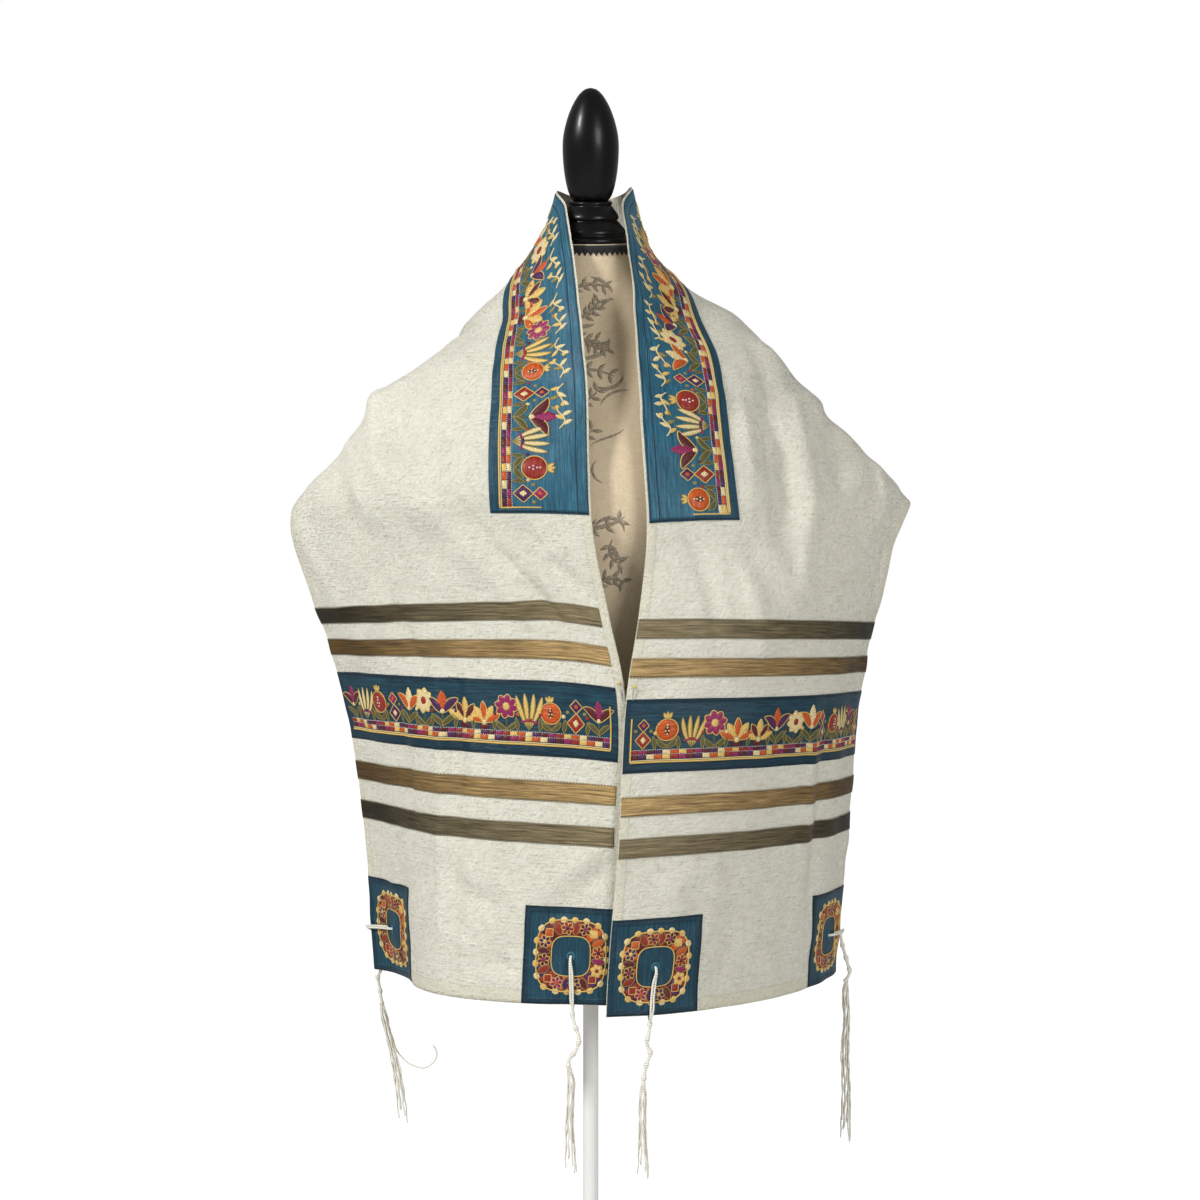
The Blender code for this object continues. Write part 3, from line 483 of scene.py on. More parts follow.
KNOB_PROFILE = table("""
    radius  height
    0.0012  0.1570
    0.0055  0.1558
    0.0105  0.1520
    0.0160  0.1445
    0.0215  0.1335
    0.0257  0.1210
    0.0283  0.1090
    0.0291  0.0990
    0.0289  0.0880
    0.0281  0.0770
    0.0268  0.0670
    0.0250  0.0580
    0.0228  0.0505
    0.0206  0.0458
    0.0190  0.0438
    0.0180  0.0428
""")
cap = turned("neck_cap_turned", profile_of(CAP_PROFILE, 0.0009), 96, LACQUER, ON_NECK)
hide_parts("neck_cap")
knob = turned("knob_turned", profile_of(KNOB_PROFILE, 0.0025), 80, LACQUER, ON_NECK)
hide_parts("finial")

# ------------------------------------------------------------------ the shawl
# One length of raw silk, 355 by 1885 mm, with its edges turned in twice and hemmed. It
# lies over the shoulders, is pinned where the fronts meet, and hangs to below the hips.
CLOTH_LENGTH = 1.885
CLOTH_WIDTH = 0.355
HALF_LENGTH = CLOTH_LENGTH / 2
SLIP = 0.0045
SIDES = {"left": -1, "right": 1}

# The neck edge, from the centre back down each front to below its hem. x is outwards.
NECK_EDGE = {
    "left": table("""
        x       y        z
        0.000   0.0520   1.404
        0.026   0.0400   1.407
        0.041   0.0140   1.408
        0.033  -0.0220   1.388
        0.0255 -0.0500   1.347
        0.018  -0.0780   1.285
        0.009  -0.1080   1.195
        0.007  -0.1300   1.110
        0.004  -0.1350   1.050
       -0.012  -0.1350   0.965
       -0.027  -0.1340   0.895
       -0.026  -0.1315   0.740
       -0.020  -0.1305   0.580
       -0.019  -0.1305   0.540
    """),
    "right": table("""
        x       y        z
        0.000   0.0520   1.404
        0.026   0.0410   1.409
        0.035   0.0140   1.412
        0.026  -0.0220   1.390
        0.031  -0.0500   1.345
        0.036  -0.0780   1.285
        0.041  -0.1080   1.195
        0.046  -0.1300   1.110
        0.049  -0.1360   1.050
        0.041  -0.1380   0.965
        0.030  -0.1405   0.895
        0.021  -0.1420   0.740
        0.009  -0.1415   0.570
        0.009  -0.1415   0.530
    """),
}

# The ribs. back: how far along the cloth, from the centre back. turn_0 to turn_4: the
# rib's heading in plan at five even places across, in degrees (0 is straight out to the
# side, 90 straight back). dip_neck, dip_out, dip_hang: how steeply it falls at the neck
# edge, past the neckband, and once it is over the shoulder. over: how far across it goes
# over the shoulder or the fold below it, and round: half the length of that bend.
RIBS = {
    "left": table("""
        back   turn_0 turn_1 turn_2 turn_3 turn_4 dip_neck dip_out dip_hang over   round
        0.000  90     90     90     90     90     72       78      89       0.150  0.060
        0.050  76     80     88     92     92     58       66      89       0.160  0.060
        0.090  48     54     76     90     94     48       42      89       0.170  0.060
        0.140  30     40     58     84     96     44       20      89       0.176  0.060
        0.200  26     34     56     84     96     38       6       89       0.196  0.060
        0.260  20     24     44     78     94     22       0       89       0.238  0.055
        0.320  10     16     34     64     90     8        2       89       0.285  0.045
        0.380  2      8      26     46     68     2        2       88       0.330  0.035
        0.430  0      4      24     40     54    -2        1       80       0.360  0.030
        0.480  2      12     26     36     46    -4        0       60       0.410  0.030
        0.540  6      16     26     38     52    -10       1.5     30       0.470  0.030
        0.630  8      14     28     44     52    -8       -1       0        0.560  0.030
        0.770  6      12     34     60     50    -3       -2       0        0.700  0.030
        0.945  6      8      39     77     32     0       -1       0        0.865  0.030
    """),
    "right": table("""
        back   turn_0 turn_1 turn_2 turn_3 turn_4 dip_neck dip_out dip_hang over   round
        0.000  90     90     90     90     90     72       78      89       0.150  0.060
        0.050  70     74     84     90     92     58       66      89       0.160  0.060
        0.090  54     60     76     88     94     48       42      89       0.170  0.060
        0.140  38     42     56     82     96     46       16      89       0.190  0.060
        0.200  29     32     46     78     96     46       3       89       0.205  0.060
        0.260  24     29     40     72     94     26       1       89       0.222  0.055
        0.320  24     30     38     58     90     8        1       89       0.256  0.045
        0.380  22     28     34     46     66     2        1       88       0.318  0.035
        0.430  20     26     30     44     56    -4        0       80       0.358  0.030
        0.480  12     26     36     52     62    -4        0       60       0.410  0.030
        0.540  0      18     40     60     68    -1        1       30       0.470  0.030
        0.630  2      18     40     62     72    -1        0       0        0.560  0.030
        0.770  8      22     42     60     74    -3       -1       0        0.700  0.030
        0.945  10     26     42     60     72     0       -1.5     0        0.865  0.030
    """),
}
TURNS = 5
DIP_EASES_OVER = 0.110  # the neck edge's own slope has gone this far across
MIRRORED_ROWS = 3       # rows repeated past the centre back, so that the halves join smoothly

# Soft folds, each along a straight line on the flat cloth: + stands out, - sinks in.
# A fold with edge 1 is deepest where it runs off the cloth's edge, like a flute of a hem.
FOLDS = {
    "left": table("""
        back_0  across_0  back_1  across_1  depth   width   edge
        0.060   0.140     0.060   0.355     0.006   0.030   1
        0.120   0.160     0.120   0.355    -0.007   0.030   1
        0.178   0.170     0.178   0.355     0.012   0.030   1
        0.240   0.180     0.240   0.355    -0.013   0.032   1
        0.300   0.200     0.300   0.355     0.014   0.030   1
        0.366   0.290     0.366   0.355    -0.006   0.024   1
        0.445   0.085     0.560   0.020    -0.004   0.016   0
        0.300   0.190     0.400   0.190    -0.005   0.024   0
    """),
    "right": table("""
        back_0  across_0  back_1  across_1  depth   width   edge
        0.050   0.140     0.050   0.355     0.005   0.030   1
        0.110   0.150     0.110   0.355    -0.008   0.034   1
        0.172   0.170     0.172   0.355     0.012   0.032   1
        0.230   0.180     0.230   0.355    -0.014   0.030   1
        0.292   0.210     0.292   0.355     0.013   0.032   1
        0.362   0.285     0.362   0.355    -0.006   0.024   1
        0.300   0.150     0.540   0.165    -0.005   0.014   0
        0.300   0.178     0.540   0.192     0.004   0.014   0
    """),
}


def lengths_along(points):
    """How far along a line of points each one is."""
    return np.r_[0, np.cumsum(np.linalg.norm(np.diff(points, axis=0), axis=1))]


def neck_edge(side):
    """Points down the neck edge, and how far along the edge each one is."""
    rows = NECK_EDGE[side]
    points = np.stack([rows["x"], rows["y"], rows["z"]], axis=1)
    run_in = points[1 : 1 + MIRRORED_ROWS][::-1] * (-1, 1, 1)
    points = np.vstack([run_in, points])
    chord = lengths_along(points)
    t = np.linspace(chord[MIRRORED_ROWS], chord[-1], 1500)
    curve = np.stack([smooth(chord, points[:, k], t) for k in range(3)], axis=1)
    return lengths_along(curve), curve


def rib_values(side, name, back):
    """One column of the ribs, read smoothly at any distance from the centre back."""
    rows = RIBS[side]
    mirrored = rows[name][1 : 1 + MIRRORED_ROWS][::-1]
    if name.startswith("turn"):
        mirrored = 180 - mirrored
    run_in = -rows["back"][1 : 1 + MIRRORED_ROWS][::-1]
    return smooth(np.r_[run_in, rows["back"]], np.r_[mirrored, rows[name]], back)


def ribs(side, back, across):
    """Points of the plain drape, a row for each rib and a column for each place across."""
    lengths, curve = neck_edge(side)
    value = {name: rib_values(side, name, back) for name in RIBS[side] if name != "back"}
    places = np.linspace(0, CLOTH_WIDTH, TURNS)
    points = np.zeros((len(back), len(across), 3))
    for i in range(len(back)):
        turns = np.array([value[f"turn_{k}"][i] for k in range(TURNS)])
        heading = np.radians(smooth(places, turns, across))
        neck, out, hang = value["dip_neck"][i], value["dip_out"][i], value["dip_hang"][i]
        half = value["round"][i]
        dip = neck + (out - neck) * ease(across / DIP_EASES_OVER)
        dip += (hang - out) * ease((across - value["over"][i] + half) / (2 * half))
        dip = np.radians(dip)
        way = np.stack([np.cos(dip) * np.cos(heading), np.cos(dip) * np.sin(heading), -np.sin(dip)], 1)
        steps = (way[1:] + way[:-1]) / 2 * np.diff(across)[:, None]
        start = np.array([np.interp(back[i], lengths, curve[:, k]) for k in range(3)])
        points[i] = start + np.vstack([np.zeros(3), np.cumsum(steps, axis=0)])
    points[..., 0] *= SIDES[side]
    return points


def fold_height(side, back, across):
    """How far the soft folds move the cloth out."""
    rows = FOLDS[side]
    u, v = np.meshgrid(back, across, indexing="ij")
    height = np.zeros_like(u)
    for k in range(len(rows["depth"])):
        start = np.array([rows["back_0"][k], rows["across_0"][k]])
        run = np.array([rows["back_1"][k], rows["across_1"][k]]) - start
        length = np.hypot(*run)
        t = ((u - start[0]) * run[0] + (v - start[1]) * run[1]) / length**2
        off = ((v - start[1]) * run[0] - (u - start[0]) * run[1]) / length
        end = 1.0 if rows["edge"][k] else ease((1 - t) * 2)
        height += rows["depth"][k] * np.exp(-((off / rows["width"][k]) ** 2)) * ease(t * 2) * end
    return height


def outward(points):
    """Unit normals of a grid of points, facing away from the wearer."""
    normal = np.cross(np.gradient(points, axis=0), np.gradient(points, axis=1))
    return normal / np.linalg.norm(normal, axis=2, keepdims=True)


# Smaller creases and troughs between two places on the flat cloth, in metres: how high
# they stand (- sinks in), how wide they are, and how far their middle bows to one side.
CREASES = {
    "left": table("""
        back_0  across_0  back_1  across_1  height   width   bow
        0.372   0.174     0.598   0.034    -0.0040   0.0085   0.000
        0.385   0.200     0.612   0.052     0.0030   0.0095   0.000
        0.285   0.225     0.440   0.150    -0.0058   0.0100   0.010
        0.270   0.262     0.440   0.190     0.0057   0.0116   0.012
        0.330   0.325     0.500   0.240    -0.0046   0.0102  -0.010
        0.400   0.345     0.570   0.300     0.0043   0.0102   0.008
        0.440   0.090     0.545   0.005    -0.0032   0.0060   0.004
        0.425   0.140     0.590   0.030    -0.0032   0.0060   0.002
        0.300   0.150     0.440   0.122    -0.0050   0.0095   0.004
        0.770   0.215     0.838   0.100     0.0028   0.0085   0.004
        0.792   0.225     0.860   0.105    -0.0026   0.0085   0.004
        0.770   0.005     0.838   0.092     0.0028   0.0085  -0.004
        0.792   0.002     0.862   0.088    -0.0026   0.0085  -0.004
        0.470   0.240     0.640   0.205    -0.0032   0.0088   0.008
        0.540   0.198     0.940   0.186     0.0035   0.0075   0.004
        0.560   0.180     0.940   0.172    -0.0039   0.0080  -0.004
        0.610   0.260     0.800   0.230    -0.0027   0.0082   0.006
        0.700   0.090     0.930   0.110    -0.0030   0.0109   0.006
        0.760   0.290     0.940   0.300     0.0030   0.0102   0.004
        0.890   0.150     0.908   0.090    -0.0027   0.0050   0.003
        0.872   0.200     0.895   0.130     0.0020   0.0060  -0.002
        0.480   0.020     0.540   0.110     0.0018   0.0080   0.004
        0.840   0.020     0.870   0.090    -0.0018   0.0070   0.003
        0.130   0.200     0.330   0.180    -0.0022   0.0150   0.010
        0.060   0.250     0.300   0.330     0.0026   0.0180   0.014
        0.100   0.300     0.240   0.345    -0.0024   0.0130   0.006
        0.020   0.180     0.180   0.260    -0.0018   0.0170   0.012
        0.000   0.140     0.110   0.160     0.0018   0.0140   0.008
    """),
    "right": table("""
        back_0  across_0  back_1  across_1  height   width   bow
        0.285   0.192     0.530   0.176     0.0030   0.0100   0.005
        0.210   0.150     0.520   0.142    -0.0046   0.0120   0.006
        0.290   0.118     0.470   0.112     0.0032   0.0075   0.004
        0.270   0.262     0.450   0.225    -0.0032   0.0110  -0.008
        0.300   0.310     0.500   0.275     0.0030   0.0110   0.010
        0.440   0.300     0.468   0.353    -0.0040   0.0050   0.002
        0.453   0.298     0.482   0.352     0.0030   0.0050   0.002
        0.350   0.345     0.560   0.320    -0.0035   0.0088   0.006
        0.517   0.205     0.522   0.350    -0.0029   0.0050   0.003
        0.508   0.215     0.512   0.345     0.0026   0.0060   0.003
        0.436   0.020     0.600   0.090    -0.0032   0.0082   0.008
        0.470   0.080     0.640   0.150     0.0030   0.0088   0.008
        0.455   0.165     0.560   0.215    -0.0023   0.0080   0.004
        0.620   0.240     0.940   0.250    -0.0035   0.0082   0.004
        0.600   0.215     0.940   0.222     0.0038   0.0075   0.004
        0.740   0.130     0.935   0.120    -0.0030   0.0109  -0.006
        0.880   0.150     0.940   0.200     0.0030   0.0075   0.004
        0.850   0.110     0.880   0.170    -0.0020   0.0060   0.003
        0.140   0.210     0.320   0.190    -0.0022   0.0150   0.010
        0.050   0.260     0.290   0.335     0.0026   0.0180   0.014
        0.120   0.310     0.250   0.345    -0.0024   0.0130   0.006
        0.030   0.200     0.190   0.270    -0.0018   0.0170   0.012
    """),
}


CREASE_SHARE = 1.45     # the creases stand this many times as high as their rows say


def crease_height(side, back, across):
    """How far the creases move the cloth out: each dies away at both ends, unevenly."""
    u, v = np.meshgrid(back, across, indexing="ij")
    height = np.zeros_like(u)
    for k, (u0, v0, u1, v1, rise, width, bow) in enumerate(zip(*CREASES[side].values())):
        run = np.array([u1 - u0, v1 - v0])
        length = np.hypot(*run)
        t = np.clip(((u - u0) * run[0] + (v - v0) * run[1]) / length**2, 0.0, 1.0)
        off = ((v - v0) * run[0] - (u - u0) * run[1]) / length - 4 * bow * t * (1 - t)
        beyond = ((u - u0) * run[0] + (v - v0) * run[1]) / length**2 - t
        off = np.hypot(off, beyond * length) * np.sign(off)
        wide = width * (0.75 + 0.5 * np.sin(pi * t)) * np.where(off > 0, 1.25, 0.8)
        uneven = 0.75 + 0.25 * np.sin(t * 9.0 + 2.1 * k)
        height += rise * np.exp(-((off / wide) ** 2)) * uneven * ease(t / 0.35) * ease((1 - t) / 0.3)
    return CREASE_SHARE * height


RUMPLE_WAVES = 26
GOLDEN_TURN = 2.399963  # radians; no two waves run the same way


def rumple(back, across, hand):
    """The fine unevenness of raw silk that has been folded away: broad and small waves."""
    u, v = np.meshgrid(back, across, indexing="ij")
    height = np.zeros_like(u)
    for k in range(RUMPLE_WAVES):
        angle = GOLDEN_TURN * k + 0.5 * hand
        length = 0.030 + 0.050 * ((k * 0.618) % 1.0)
        wave = tau / length
        drift = 0.5 * np.sin(u * 17.0 + k) + 0.5 * np.sin(v * 23.0 + 1.7 * k)
        height += length * 0.0042 * np.sin(wave * (u * cos(angle) + v * sin(angle)) + 1.4 * drift + 1.9 * k)
    return height * (0.65 + 0.35 * np.sin(u * 21.0 + 2 * hand) * np.sin(v * 19.0 + 1.0))


FINE_ALONG = np.linspace(-HALF_LENGTH, HALF_LENGTH, 943)
FINE_ACROSS = np.linspace(0, CLOTH_WIDTH, 179)


def drape():
    """The whole cloth's middle surface and its normals, on a 2 mm grid."""
    signed = FINE_ALONG + SLIP
    points = np.zeros((len(FINE_ALONG), len(FINE_ACROSS), 3))
    folds, creases = np.zeros(points.shape[:2]), np.zeros(points.shape[:2])
    for side, hand in SIDES.items():
        here = signed < 0 if hand < 0 else signed >= 0
        back = np.abs(signed[here])
        points[here] = ribs(side, back, FINE_ACROSS)
        folds[here] = fold_height(side, back, FINE_ACROSS)
        creases[here] = crease_height(side, back, FINE_ACROSS)
    points = points + outward(points) * folds[..., None]
    creases += rumple(signed, FINE_ACROSS, 1)
    points = points + outward(points) * creases[..., None]
    return points, outward(points)


FINE_POINTS, FINE_NORMALS = drape()


def cloth(along, across, out):
    """Points of the draped cloth at places along and across it, moved out by `out`."""
    along, across, out = np.broadcast_arrays(along, across, out)
    i = np.interp(along, FINE_ALONG, np.arange(len(FINE_ALONG)))
    j = np.interp(across, FINE_ACROSS, np.arange(len(FINE_ACROSS)))
    i0 = np.minimum(i.astype(int), len(FINE_ALONG) - 2)
    j0 = np.minimum(j.astype(int), len(FINE_ACROSS) - 2)
    a, b = (i - i0)[..., None], (j - j0)[..., None]

    def read(grid):
        near = grid[i0, j0] * (1 - b) + grid[i0, j0 + 1] * b
        far = grid[i0 + 1, j0] * (1 - b) + grid[i0 + 1, j0 + 1] * b
        return near * (1 - a) + far * a

    return read(FINE_POINTS) + read(FINE_NORMALS) * out[..., None]


def stations(edges, longest):
    """The given edges, with even steps no longer than `longest` between them."""
    places = [edges[0]]
    for start, end in zip(edges, edges[1:]):
        steps = max(1, int(np.ceil((end - start) / longest - 1e-6)))
        places += [start + (end - start) * k / steps for k in range(1, steps + 1)]
    return np.array(places)


def marked(piece, name, places):
    """Keep a flat place for each point of the piece, as the UV layer `name`."""
    layer = piece.data.uv_layers.new(name=name)
    which = np.empty(len(piece.data.loops), dtype=int)
    piece.data.loops.foreach_get("vertex_index", which)
    layer.data.foreach_set("uv", np.array(places)[which].ravel())


def layer_of_cloth(name, along, across, under, over, material):
    """A closed layer over a grid of places; `under` and `over` are its two heights."""
    u, v = np.meshgrid(along, across, indexing="ij")
    rows, columns = u.shape
    sheet = rows * columns
    vertices = np.vstack([cloth(u, v, over).reshape(-1, 3), cloth(u, v, under).reshape(-1, 3)])
    faces = []
    for i in range(rows - 1):
        for j in range(columns - 1):
            a, b = i * columns + j, (i + 1) * columns + j
            faces.append((a, b, b + 1, a + 1))
            faces.append((sheet + a, sheet + a + 1, sheet + b + 1, sheet + b))
    rim = [i * columns for i in range(rows)]
    rim += [(rows - 1) * columns + j for j in range(1, columns)]
    rim += [i * columns + columns - 1 for i in range(rows - 2, -1, -1)]
    rim += list(range(columns - 2, 0, -1))
    for a, b in zip(rim, rim[1:] + rim[:1]):
        faces.append((b, a, sheet + a, sheet + b))
    piece = shown(name, vertices, faces, material)
    marked(piece, "flat", np.tile(np.stack([u.ravel(), v.ravel()], axis=1), (2, 1)))
    return piece


def marked_place(tree, name):
    """A marked place: the place itself, and its two parts."""
    place = node(tree, "ShaderNodeUVMap", uv_map=name).outputs[0]
    parts = node(tree, "ShaderNodeSeparateXYZ", Vector=place)
    return place, parts.outputs["X"], parts.outputs["Y"]


def parts_of_cloth(tree):
    """The flat place, and how far it is across, from the nearer end and the nearer side."""
    place, along_it, across_it = marked_place(tree, "flat")
    from_end = math(tree, "SUBTRACT", HALF_LENGTH, math(tree, "ABSOLUTE", along_it))
    from_side = math(tree, "MINIMUM", across_it, math(tree, "SUBTRACT", CLOTH_WIDTH, across_it))
    return place, {"across": across_it, "from_end": from_end, "from_side": from_side}


def ranged(tree, value, low, high, at_low=0.0, at_high=1.0):
    """A value carried from between low and high to between at_low and at_high."""
    made = node(tree, "ShaderNodeMapRange", Value=value, From_Min=low, From_Max=high)
    made.inputs["To Min"].default_value, made.inputs["To Max"].default_value = at_low, at_high
    return made.outputs[0]


def stripe_at(tree, value, start, end, soft):
    """1 between start and end, 0 outside, with soft edges."""
    up = ranged(tree, value, start - soft, start)
    return math(tree, "MULTIPLY", up, ranged(tree, value, end, end + soft, 1.0, 0.0))


HEM_WIDTH = 0.0095
END_HEM = 0.013
ROLLED = 0.0012     # every turned edge is rounded over this much
SILK = look("ivory_silk", (0.79, 0.76, 0.62), 0.62, sheen=0.12, specular=0.35)
tree = SILK.node_tree
place, parts = parts_of_cloth(tree)
slub = grain(tree, place, (430, 52, 1), 4.0, 0.72)
slub_fine = grain(tree, place, (1700, 110, 1), 2.0, 0.6)
long_slub = grain(tree, place, (50, 560, 1), 4.0, 0.65)
crumple = grain(tree, place, (95, 120, 1), 5.0, 0.72)
cloudy = grain(tree, place, (24, 24, 1), 4.0, 0.6)
turned_place = node(tree, "ShaderNodeMapping", Vector=place, Rotation=(0.0, 0.0, radians(38))).outputs[0]
squiggle = grain(tree, turned_place, (120, 330, 1), 4.0, 0.68)
from_edge = math(tree, "SUBTRACT", parts["from_end"], END_HEM - HEM_WIDTH)
from_edge = math(tree, "MINIMUM", parts["from_side"], from_edge)
hem = stripe_at(tree, from_edge, -1.0, HEM_WIDTH, 0.0005)
# a narrow line along the hem's inner edge, which carries painted shade
hem_step_shadow = stripe_at(tree, from_edge, HEM_WIDTH - 0.0002, HEM_WIDTH + 0.0004, 0.0004)
SILK_TONES = ((0.62, 0.59, 0.46), (0.92, 0.89, 0.745), (0.98, 0.965, 0.86))
ground = ramp(tree, slub, *zip((0.33, 0.48, 0.66), SILK_TONES))
# partly painted light: the crinkle's colour follows its own bump, lighter on its ridges and darker in its
# hollows, over the silk's uneven tone
ground = mixed(tree, 0.42, ground, ramp(tree, squiggle, *zip((0.37, 0.48, 0.60), SILK_TONES)))
ground = mixed(tree, 0.25, ground, ramp(tree, cloudy, (0.3, (0.74, 0.715, 0.59)), (0.7, (0.86, 0.84, 0.71))))
ground = mixed(tree, math(tree, "MULTIPLY", hem, 0.65), ground, (0.84, 0.80, 0.62))
# painted shade: a darker line where the hem's turned edge steps up from the cloth
ground = mixed(tree, math(tree, "MULTIPLY", hem_step_shadow, 0.28), ground, (0.50, 0.45, 0.31))
coloured(SILK, ground)
bumped(SILK, cloudy, 0.0060, 0.7)
bumped(SILK, crumple, 0.0042, 0.9)
bumped(SILK, squiggle, 0.0040, 0.9)
bumped(SILK, slub, 0.00250, 1.0)
bumped(SILK, long_slub, 0.00060, 0.8)
bumped(SILK, slub_fine, 0.00022, 0.7)

SHAWL_ALONG = stations([-HALF_LENGTH, -HALF_LENGTH + END_HEM, HALF_LENGTH - END_HEM, HALF_LENGTH], 0.0046)
in_from_side = (0, ROLLED, HEM_WIDTH, HEM_WIDTH + 0.0006)
side_edges = [*in_from_side, *(CLOTH_WIDTH - inset for inset in reversed(in_from_side))]
SHAWL_ACROSS = stations(side_edges, 0.0042)
u, v = np.meshgrid(SHAWL_ALONG, SHAWL_ACROSS, indexing="ij")
edge_in = np.minimum(np.minimum(v, CLOTH_WIDTH - v), (HALF_LENGTH - np.abs(u)) * 0.75)
hemmed = (edge_in <= HEM_WIDTH + 1e-6) * 0.00018
half_thick = (0.0003 + hemmed) * np.clip(edge_in / ROLLED, 0.15, 1.0)
shawl = layer_of_cloth("silk_shawl", SHAWL_ALONG, SHAWL_ACROSS, -half_thick, half_thick, SILK)
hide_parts("shawl")

# ------------------------------------------------------------------ ribbons and bands
# Slubbed silk ribbons, machine stitched along both edges, and one wider embroidered band
# of teal dupion cross each front.
STRIPS = {
    "stripe_dark_low": (0.155, 0.175),
    "stripe_tan_low": (0.196, 0.216),
    "band": (0.239, 0.312),
    "stripe_tan_high": (0.333, 0.353),
    "stripe_dark_high": (0.372, 0.392),
}
UNDER = 0.00075
OVER = 0.00135


def sewn_on(name, low, high, start, end, material, step=0.004):
    """A layer sewn on between two places along and two across, its turned edges rounded down."""
    turned_in = (0.0, ROLLED / 2, ROLLED)
    along, across = (
        stations([first + d for d in turned_in] + [last - d for d in reversed(turned_in)], step)
        for first, last in ((low, high), (start, end))
    )
    u, v = np.meshgrid(along, across, indexing="ij")
    inset = np.minimum(np.minimum(u - low, high - u), np.minimum(v - start, end - v))
    top = UNDER + (OVER - UNDER) * (0.35 + 0.65 * ease(inset / ROLLED))
    return layer_of_cloth(name, along, across, UNDER, top, material)


def any_of(tree, parts, ranges, soft):
    """1 wherever one of the ranges holds, given as (which part, from, to)."""
    found = 0.0
    for which, low, high in ranges:
        found = math(tree, "MAXIMUM", found, stripe_at(tree, parts[which], low, high, soft))
    return found


def ribbon_look(name, outer, inner):
    """Slubbed ribbon silk with painted shade and sheen: lighter near the neck edge, as where it faces the
    light, and darker as it turns away to the outer edge.
    """
    made = look(name, inner, 0.50, specular=0.20)
    tree = made.node_tree
    place, parts = parts_of_cloth(tree)
    slub = grain(tree, place, (560, 22, 1), 4.0, 0.75)
    fine = grain(tree, place, (1700, 60, 1), 2.0, 0.6)
    # painted shade and highlight: the colour runs from the lit inner tone to the shaded outer tone across the
    # cloth
    tone_with_painted_shade = mixed(tree, ranged(tree, parts["across"], 0.02, 0.31), inner, outer)
    streak = ramp(tree, slub, (0.32, (0.30, 0.28, 0.26)), (0.50, (1.0, 1.0, 1.0)), (0.68, (1.9, 1.95, 2.05)))
    tone_with_painted_shade = mixed(tree, 1.0, tone_with_painted_shade, streak, "MULTIPLY")
    rims = [("from_end", low - 0.002, low + 0.0016) for low, _ in STRIPS.values()]
    rims += [("from_end", high - 0.0016, high + 0.002) for _, high in STRIPS.values()]
    rim = any_of(tree, parts, rims, 0.0004)
    tone_with_painted_shade = mixed(tree, math(tree, "MULTIPLY", rim, 0.55), tone_with_painted_shade, (0.02, 0.015, 0.008))
    # the stitches nip the ribbon's very edge, so that it shows as a row of dots
    seams = [("from_end", edge - 0.0009, edge + 0.0009) for edges in STRIPS.values() for edge in edges]
    nip = math(tree, "SINE", math(tree, "MULTIPLY", parts["across"], tau / 0.0031))
    nip = math(tree, "MULTIPLY", any_of(tree, parts, seams, 0.0002), math(tree, "GREATER_THAN", nip, 0.1))
    coloured(made, mixed(tree, math(tree, "MULTIPLY", nip, 0.75), tone_with_painted_shade, (0.62, 0.57, 0.42)))
    bumped(made, slub, 0.00045, 0.8)
    bumped(made, fine, 0.00018, 0.7)
    return made


# each ribbon is given as its shaded outer tone and its lit inner tone, for the painted shade and highlight
DARK_RIBBON = ribbon_look("dark_ribbon", (0.018, 0.014, 0.005), (0.180, 0.142, 0.076))
TAN_RIBBON = ribbon_look("tan_ribbon", (0.070, 0.038, 0.010), (0.345, 0.230, 0.094))


def dupion_look(name, along_scale, across_scale, depth, edges, seams):
    """Teal dupion silk, slubbed one way, with darker turned edges and sunk seams; depth makes a lighter or
    darker copy for each piece, partly as painted light and shade.
    """
    made = look(name, (0.03, 0.11, 0.16), 0.42, specular=0.28)
    tree = made.node_tree
    place, parts = parts_of_cloth(tree)
    slub = grain(tree, place, (along_scale, across_scale, 1), 5.0, 0.78)
    fine = grain(tree, place, (along_scale * 3, across_scale * 3, 1), 2.0, 0.6)
    pucker = grain(tree, place, (230, 70, 1), 3.0, 0.6)
    # depth scales these tones for each piece of the one silk, partly painted light and shade
    tones = ((0.003, 0.032, 0.055), (0.018, 0.120, 0.200), (0.065, 0.275, 0.390))
    tones = [tuple(depth * c for c in tone) for tone in tones]
    tint = ramp(tree, slub, (0.36, tones[0]), (0.50, tones[1]), (0.68, tones[2]))
    tint = mixed(tree, 0.25, tint, ramp(tree, fine, (0.3, tones[0]), (0.7, tones[2])))
    edge = any_of(tree, parts, edges, 0.0010)
    seam = any_of(tree, parts, seams, 0.0006)
    tint = mixed(tree, math(tree, "MULTIPLY", edge, 0.62), tint, (0.002, 0.020, 0.036))
    tint = mixed(tree, math(tree, "MULTIPLY", seam, 0.80), tint, (0.001, 0.010, 0.018))
    coloured(made, tint)
    near = math(tree, "ADD", 0.25, math(tree, "MULTIPLY", edge, 0.75))
    bumped(made, math(tree, "MULTIPLY", pucker, near), 0.0022, 0.7)
    bumped(made, math(tree, "SUBTRACT", 1.0, seam), 0.0006, 0.8)
    bumped(made, slub, 0.00050, 0.85)
    bumped(made, fine, 0.00018, 0.6)
    return made


